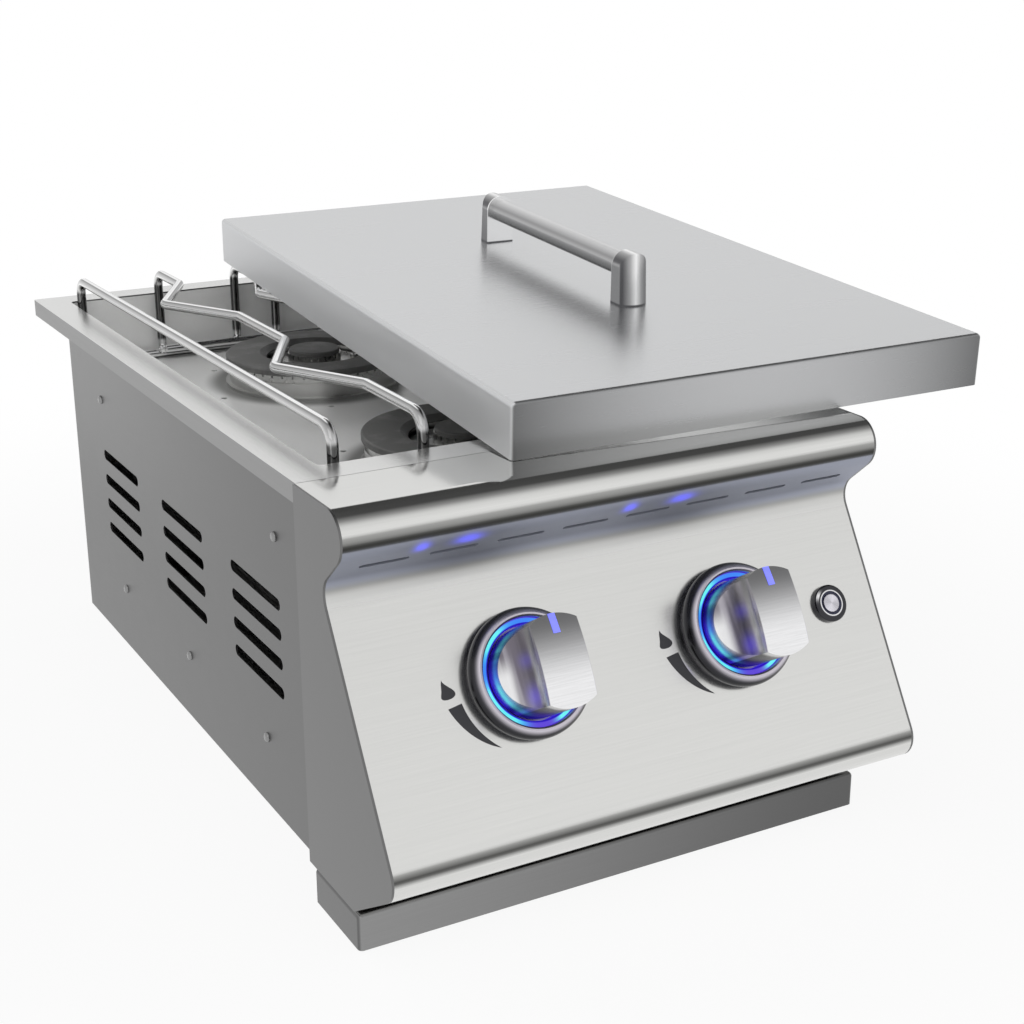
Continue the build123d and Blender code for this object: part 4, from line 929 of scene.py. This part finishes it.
def grid_mesh(name, points, closed=False):
    """A mesh of quads from an array of points, rows by columns; closed joins the last column."""
    rows, columns = points.shape[:2]
    index = np.arange(rows * columns).reshape(rows, columns)
    nxt = np.roll(index, -1, axis=1)
    last = columns if closed else columns - 1
    quads = np.stack(
        [index[:-1, :last], nxt[:-1, :last], nxt[1:, :last], index[1:, :last]], axis=-1
    ).reshape(-1, 4)
    mesh = bpy.data.meshes.new(name)
    mesh.from_pydata(points.reshape(-1, 3).tolist(), [], quads.tolist())
    mesh.update()
    return mesh


def new_piece(name, mesh, material, body):
    """Put a mesh into the scene as a piece that rides on a body."""
    piece = bpy.data.objects.new(name, mesh)
    bpy.context.scene.collection.objects.link(piece)
    mesh.materials.append(material)
    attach(piece, body)
    return piece


def print_piece(name, knob, right, up, material, lift):
    """A printed mark: a sheet of panel coordinates laid on the panel and given the ink's thickness.

    A point is the knob's centre, plus right along X, plus up along the panel, plus the lift.
    """
    points = (
        np.array(knob["centre"])
        + right[..., None] * np.array(RIGHT)
        + up[..., None] * np.array(knob["up"])
        + lift * np.array(knob["axis"])
    )
    piece = new_piece(name, grid_mesh(name, points), material, "housing")
    ink = piece.modifiers.new("ink", "SOLIDIFY")
    ink.thickness = lift * 0.8
    ink.offset = -1.0


def arc_mark(hand, look, material):
    """The tapered arc beside a knob.

    The angle runs from the wide end to the tip; radius and width run evenly with it, and the
    width falls to nothing at the tip.
    """
    run = np.linspace(0.0, 1.0, 49)[:, None]
    over = np.linspace(-1.0, 1.0, 5)[None, :]
    angle = look.arc_start + (look.arc_end - look.arc_start) * run
    radius = look.arc_start_radius + (look.arc_end_radius - look.arc_start_radius) * run
    radius = radius + over * look.arc_width / 2 * (1.0 - run) ** 0.9
    print_piece(
        f"{hand}_arc_mark", knob_place(hand), -radius * np.cos(angle), -radius * np.sin(angle),
        material, look.lift,
    )


def flame_mark(hand, look, material):
    """A small plain flame at the high end of a knob's range.

    Its height runs from 0 to 1; its half width is a rounded foot that draws in to a point, and
    its middle line sways to one side near the tip.
    """
    run = np.linspace(0.0, 1.0, 41)[:, None]
    over = np.linspace(-1.0, 1.0, 7)[None, :]
    half = look.flame_width / 2 * 1.2 * np.sin(np.pi * np.sqrt(run)) * (1.0 - run) ** 0.3
    sway = look.flame_width * 0.14 * np.sin(np.pi * 1.6 * run)
    right = -look.flame_radius + sway + over * half
    up = look.flame_height * (run - 0.35) + 0.0 * over
    print_piece(f"{hand}_flame_mark", knob_place(hand), right, up, material, look.lift)


def weld_beads(look, material):
    """Rippled beads where the tie rods of the grate meet its legs.

    A bead is an ellipsoid, flat along Y, over two angles; its radius swells and shrinks by the
    ripple with the angle round Y.
    """
    low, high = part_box("cooking_grate")
    lean = np.linspace(-np.pi / 2, np.pi / 2, 9)[:, None]
    round_y = np.linspace(0.0, 2 * np.pi, 24, endpoint=False)[None, :]
    swell = look.bead_radius * (1.0 + look.bead_ripple * np.cos(9 * round_y))
    bead = np.stack(
        [
            swell * np.cos(lean) * np.cos(round_y),
            look.bead_radius * 0.6 * np.sin(lean) + 0.0 * round_y,
            swell * np.cos(lean) * np.sin(round_y),
        ],
        axis=-1,
    )
    reach_y = 2 * look.rod_radius - look.bead_radius * 0.1
    rows = ((low.y + reach_y, "front"), (high.y - reach_y, "rear"))
    columns = (-look.rod_reach, -look.rod_inner_reach, look.rod_inner_reach, look.rod_reach)
    for bead_y, spot in rows:
        for number, bead_x in enumerate(columns, 1):
            middle = np.array((bead_x, bead_y, low.z + look.rod_radius + look.tie_rise))
            name = f"{spot}_weld_bead_{number}"
            mesh = grid_mesh(name, bead + middle, closed=True)
            new_piece(name, mesh, material, "grate")


class SIDEBURNER_OT_housing(Operator):
    """Finish the box: sides, back, floor, flange, rails and screws"""

    bl_idname = "side_burner.housing"
    bl_label = "Housing"

    def execute(self, context):
        look = context.scene.side_burner_housing
        dress(
            plain_steel("plain_steel", look.plain, look.roughness),
            "rear_panel", "floor_panel", "firewall", "left_tray_rail", "right_tray_rail", "pan_beams",
        )
        dress(side_steel(look), "left_side_panel", "right_side_panel")
        dress(deck_steel(look), "top_frame")
        # Painted reflection: the screws' steel is darkened.
        dress(polished_steel("screw_steel", look.screw, 0.25), "housing_screws")
        return {"FINISHED"}


class SIDEBURNER_OT_control_panel(Operator):
    """Finish the control panel and its end caps, and print the marks beside the knobs"""

    bl_idname = "side_burner.control_panel"
    bl_label = "Control panel"

    def execute(self, context):
        look = context.scene.side_burner_panel
        dress(panel_steel(look), "control_panel")
        # Painted shade: the end caps' steel is darkened.
        dress(plain_steel("cap_steel", look.cap, 0.34), "left_end_cap", "right_end_cap")
        ink = moulded("printed_ink", look.ink, 0.5)
        for hand in HANDS:
            arc_mark(hand, look, ink)
            flame_mark(hand, look, ink)
        return {"FINISHED"}


class SIDEBURNER_OT_knobs(Operator):
    """Finish the knobs, their bezels, light rings and pointers"""

    bl_idname = "side_burner.knobs"
    bl_label = "Knobs"

    def execute(self, context):
        look = context.scene.side_burner_knobs
        pointer = lit_line("pointer_light", look.pointer)
        for hand in HANDS:
            knob = knob_place(hand)
            low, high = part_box(f"{hand}_led_ring")
            outer = (high.x - low.x) / 2
            dress(knob_satin(f"{hand}_knob_satin", knob, look), f"{hand}_knob")
            dress(bezel_metal(f"{hand}_bezel_metal", knob, look), f"{hand}_knob_bezel")
            ring = light_ring(f"{hand}_ring_light", knob, look, outer - RING_WIDTH, outer)
            dress(ring, f"{hand}_led_ring")
            dress(pointer, f"{hand}_knob_pointer")
        return {"FINISHED"}


class SIDEBURNER_OT_light_switch(Operator):
    """Finish the push button for the lights"""

    bl_idname = "side_burner.light_switch"
    bl_label = "Light switch"

    def execute(self, context):
        look = context.scene.side_burner_switch
        switch = knob_place("left")
        low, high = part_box("switch_button")
        switch["centre"] = (low + high) / 2
        dress(switch_chrome(switch, look), "switch_body")
        dress(moulded("switch_ring_plastic", look.ring, 0.3), "switch_led_ring")
        dress(switch_satin(switch, look), "switch_button")
        return {"FINISHED"}


class SIDEBURNER_OT_burners(Operator):
    """Finish the pan and the two ring burners"""

    bl_idname = "side_burner.burners"
    bl_label = "Burners"

    def execute(self, context):
        look = context.scene.side_burner_burners
        dress(pan_satin(look), "burner_pan")
        base = brushed_steel("burner_steel", look.steel, "Z", 0.30)
        head = polished_steel("head_steel", look.steel, 0.28)
        enamel = black_enamel("cap_enamel", look.enamel)
        for spot in PLACES:
            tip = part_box(f"{spot}_electrode")[1].z - TIP_LENGTH
            dress(base, f"{spot}_burner_base", f"{spot}_feed_tube")
            dress(head, f"{spot}_outer_head", f"{spot}_inner_head")
            dress(enamel, f"{spot}_outer_cap", f"{spot}_inner_cap")
            glaze = electrode_finish(f"{spot}_electrode_glaze", look.ceramic, look.steel, tip)
            dress(glaze, f"{spot}_electrode")
        return {"FINISHED"}


class SIDEBURNER_OT_grate(Operator):
    """Finish the cooking grate"""

    bl_idname = "side_burner.grate"
    bl_label = "Cooking grate"

    def execute(self, context):
        look = context.scene.side_burner_grate
        low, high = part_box("cooking_grate")
        leg = (low.z + 4 * look.rod_radius, high.z - 3 * look.rod_radius)
        polish = facing_chrome("rod_polish", look.rod, look.roughness, ROD_PAINTED_TONES, leg)
        dress(polish, "cooking_grate")
        weld_beads(look, polish)
        return {"FINISHED"}


class SIDEBURNER_OT_lid(Operator):
    """Finish the lid and its handle"""

    bl_idname = "side_burner.lid"
    bl_label = "Lid"

    def execute(self, context):
        look = context.scene.side_burner_lid
        front = sum(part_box("front_handle_post"), Vector()) / 2
        rear = sum(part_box("rear_handle_post"), Vector()) / 2
        middle = (front + rear) / 2
        along = (rear - front).normalized()
        across = Vector((along.y, -along.x, 0.0)).normalized()
        dress(lid_steel(look, middle, along, across), "lid_cover")
        # Painted reflection: the bar's tone follows its facing.
        dress(facing_chrome("bar_satin", look.bar, 0.26, BAR_PAINTED_TONES), "handle_bar")
        dress(post_chrome(look, middle, along, across), "front_handle_post", "rear_handle_post")
        dress(polished_steel("handle_screw_steel", look.bar, 0.3), "handle_screws")
        return {"FINISHED"}


class SIDEBURNER_OT_drip_tray(Operator):
    """Finish the drip tray"""

    bl_idname = "side_burner.drip_tray"
    bl_label = "Drip tray"

    def execute(self, context):
        look = context.scene.side_burner_tray
        dress(tray_satin(look), "drip_tray_front")
        dress(plain_steel("tray_steel", look.pan, 0.32), "drip_tray_pan")
        return {"FINISHED"}


class SIDEBURNER_OT_gas_train(Operator):
    """Finish the manifold, valves, pipes and ignition"""

    bl_idname = "side_burner.gas_train"
    bl_label = "Gas train"

    def execute(self, context):
        look = context.scene.side_burner_gas
        brass = polished_steel("valve_brass", look.brass, 0.28)
        pipe = plain_steel("pipe_steel", look.pipe, 0.38)
        dress(pipe, "gas_manifold", "gas_supply_pipe")
        dress(brass, "gas_inlet_fitting")
        for hand in HANDS:
            dress(
                brass, f"{hand}_valve_body", f"{hand}_orifice", f"{hand}_valve_plug",
                f"{hand}_valve_stem",
            )
        dress(moulded("module_plastic", look.plastic, 0.4), "ignition_module")
        dress(moulded("lead_rubber", look.rubber, 0.5), "ignition_leads")
        return {"FINISHED"}


def floor_finish(look):
    """A pale matt floor that is seen as plain white, with a soft shadow near the part.

    What the camera, a mirror or glass sees is mixed from the lit floor and white; the share of
    white grows with the distance from the part.
    """
    material, start, shader = blank_finish("pale_floor")
    output = shader.outputs["BSDF"].links[0].to_node
    cloud = noise(start, (3.0, 3.0, 3.0), 2.0)
    feed(shader, {
        "Base Color": mixed(start, cloud, toned(look.floor, 0.99), toned(look.floor, 1.01)),
        "Roughness": 0.85,
        "Specular IOR Level": 0.1,
    })
    rays = [
        start.node("ShaderNodeLightPath", {}, {}, kind)
        for kind in ("Is Camera Ray", "Is Glossy Ray", "Is Transmission Ray")
    ]
    seen = start.math("MINIMUM", rays[0] + rays[1] + rays[2], 1.0)
    distance = start.vector("LENGTH", place(start), out="Value")
    white = look.floor_near + (1.0 - look.floor_near) * distance.ease(0.40, 0.95)
    plain = start.node("ShaderNodeEmission", {}, {"Color": rgba(WHITE), "Strength": 1.0})
    lit = Shade(start.tree, shader.outputs["BSDF"])
    surface = start.node("ShaderNodeMixShader", {}, {0: seen * white, 1: lit, 2: plain})
    start.tree.links.new(surface.socket, output.inputs["Surface"])
    return material


def soft_surround(look):
    """The world: an even pale sky, white at the horizon, with a dark canopy over the right side.

    Under the canopy the brightness follows the angle of a direction over the rear horizon, turned
    about X; the canopy fades out towards the middle and towards the right horizon.
    """
    world = bpy.data.worlds.new("soft_surround")
    world.use_nodes = True
    tree = world.node_tree
    tree.nodes.clear()
    start = Shade(tree)
    ray = start.node("ShaderNodeTexCoord", {}, {}, "Generated")
    x, y, z = (start.node("ShaderNodeSeparateXYZ", {}, {"Vector": ray}, axis) for axis in "XYZ")
    angle = start.math("ARCTAN2", start.math("MAXIMUM", z, 0.0), y)
    canopy = x.ease(0.16, 0.30) * (1.0 - x.ease(0.70, 0.92))
    band = (angle * math.degrees(1.0)).levels(SURROUND)
    pale = mixed(start, z.ease(0.10, 0.35), WHITE, toned(WHITE, look.sky))
    shown = mixed(start, canopy, pale, band)
    light = start.node("ShaderNodeBackground", {}, {"Color": shown, "Strength": 1.0})
    output = tree.nodes.new("ShaderNodeOutputWorld")
    tree.links.new(light.socket, output.inputs["Surface"])
    return world


def soft_light(name, spot, target, size, power):
    """A square area light at a spot, aimed at a target."""
    lamp = bpy.data.lights.new(name, "AREA")
    lamp.shape = "SQUARE"
    lamp.size = size
    lamp.energy = power
    holder = bpy.data.objects.new(name, lamp)
    bpy.context.scene.collection.objects.link(holder)
    holder.location = spot
    holder.rotation_euler = (Vector(target) - Vector(spot)).to_track_quat("-Z", "Y").to_euler()


class SIDEBURNER_OT_stage(Operator):
    """Set the floor, the surround, the lights and the camera"""

    bl_idname = "side_burner.stage"
    bl_label = "Stage"

    def execute(self, context):
        look = context.scene.side_burner_stage
        scene = context.scene
        scene.view_settings.view_transform = "Standard"

        ring = np.linspace(0.0, 2 * np.pi, 96, endpoint=False)[None, :]
        out = look.floor_radius * np.linspace(1.0, 0.0, 9)[:, None] ** 2
        level = np.zeros_like(out * ring) - 0.0002
        points = np.stack([out * np.cos(ring), out * np.sin(ring), level], axis=-1)
        mesh = grid_mesh("floor", points, closed=True)
        mesh.materials.append(floor_finish(look))
        floor = bpy.data.objects.new("floor", mesh)
        scene.collection.objects.link(floor)

        scene.world = soft_surround(look)
        soft_light("key_light", KEY_PLACE, KEY_AIM, KEY_SIZE, look.key_power)

        lens = bpy.data.cameras.new("camera")
        lens.sensor_width = 36.0
        lens.lens = look.lens
        lens.clip_start = 0.05
        lens.clip_end = 100.0
        camera = bpy.data.objects.new("camera", lens)
        scene.collection.objects.link(camera)
        aim = Euler((math.pi / 2 - look.camera_tilt, 0.0, -look.camera_pan), "XYZ").to_matrix()
        lean = Matrix.Rotation(look.camera_roll, 3, "Z")
        camera.matrix_world = Matrix.Translation(look.camera_place) @ (aim @ lean).to_4x4()
        scene.camera = camera
        return {"FINISHED"}


LOOKS = {
    "side_burner_housing": HousingLook,
    "side_burner_panel": PanelLook,
    "side_burner_knobs": KnobLook,
    "side_burner_switch": SwitchLook,
    "side_burner_burners": BurnerLook,
    "side_burner_grate": GrateLook,
    "side_burner_lid": LidLook,
    "side_burner_tray": TrayLook,
    "side_burner_gas": GasLook,
    "side_burner_stage": StageLook,
}

STEPS = (
    SIDEBURNER_OT_housing,
    SIDEBURNER_OT_control_panel,
    SIDEBURNER_OT_knobs,
    SIDEBURNER_OT_light_switch,
    SIDEBURNER_OT_burners,
    SIDEBURNER_OT_grate,
    SIDEBURNER_OT_lid,
    SIDEBURNER_OT_drip_tray,
    SIDEBURNER_OT_gas_train,
    SIDEBURNER_OT_stage,
)


class SIDEBURNER_PT_looks(Panel):
    """Lists the steps and the values that each one uses"""

    bl_idname = "SIDEBURNER_PT_looks"
    bl_label = "Side burner"
    bl_space_type = "VIEW_3D"
    bl_region_type = "UI"
    bl_category = "Side burner"

    def draw(self, context):
        for step, (name, look) in zip(STEPS, LOOKS.items()):
            box = self.layout.box()
            box.operator(step.bl_idname)
            for prop in look.__annotations__:
                box.prop(getattr(context.scene, name), prop)


def register():
    """Make the classes and the scene's values known to Blender."""
    for cls in (*LOOKS.values(), *STEPS, SIDEBURNER_PT_looks):
        bpy.utils.register_class(cls)
    for name, look in LOOKS.items():
        setattr(bpy.types.Scene, name, PointerProperty(type=look))


def unregister():
    """Undo register."""
    for name in LOOKS:
        delattr(bpy.types.Scene, name)
    for cls in reversed((*LOOKS.values(), *STEPS, SIDEBURNER_PT_looks)):
        bpy.utils.unregister_class(cls)


def main():
    """Dress the part in order."""
    register()
    bpy.ops.side_burner.housing()
    bpy.ops.side_burner.control_panel()
    bpy.ops.side_burner.knobs()
    bpy.ops.side_burner.light_switch()
    bpy.ops.side_burner.burners()
    bpy.ops.side_burner.grate()
    bpy.ops.side_burner.lid()
    bpy.ops.side_burner.drip_tray()
    bpy.ops.side_burner.gas_train()
    bpy.ops.side_burner.stage()


if __name__ == "__main__":
    main()
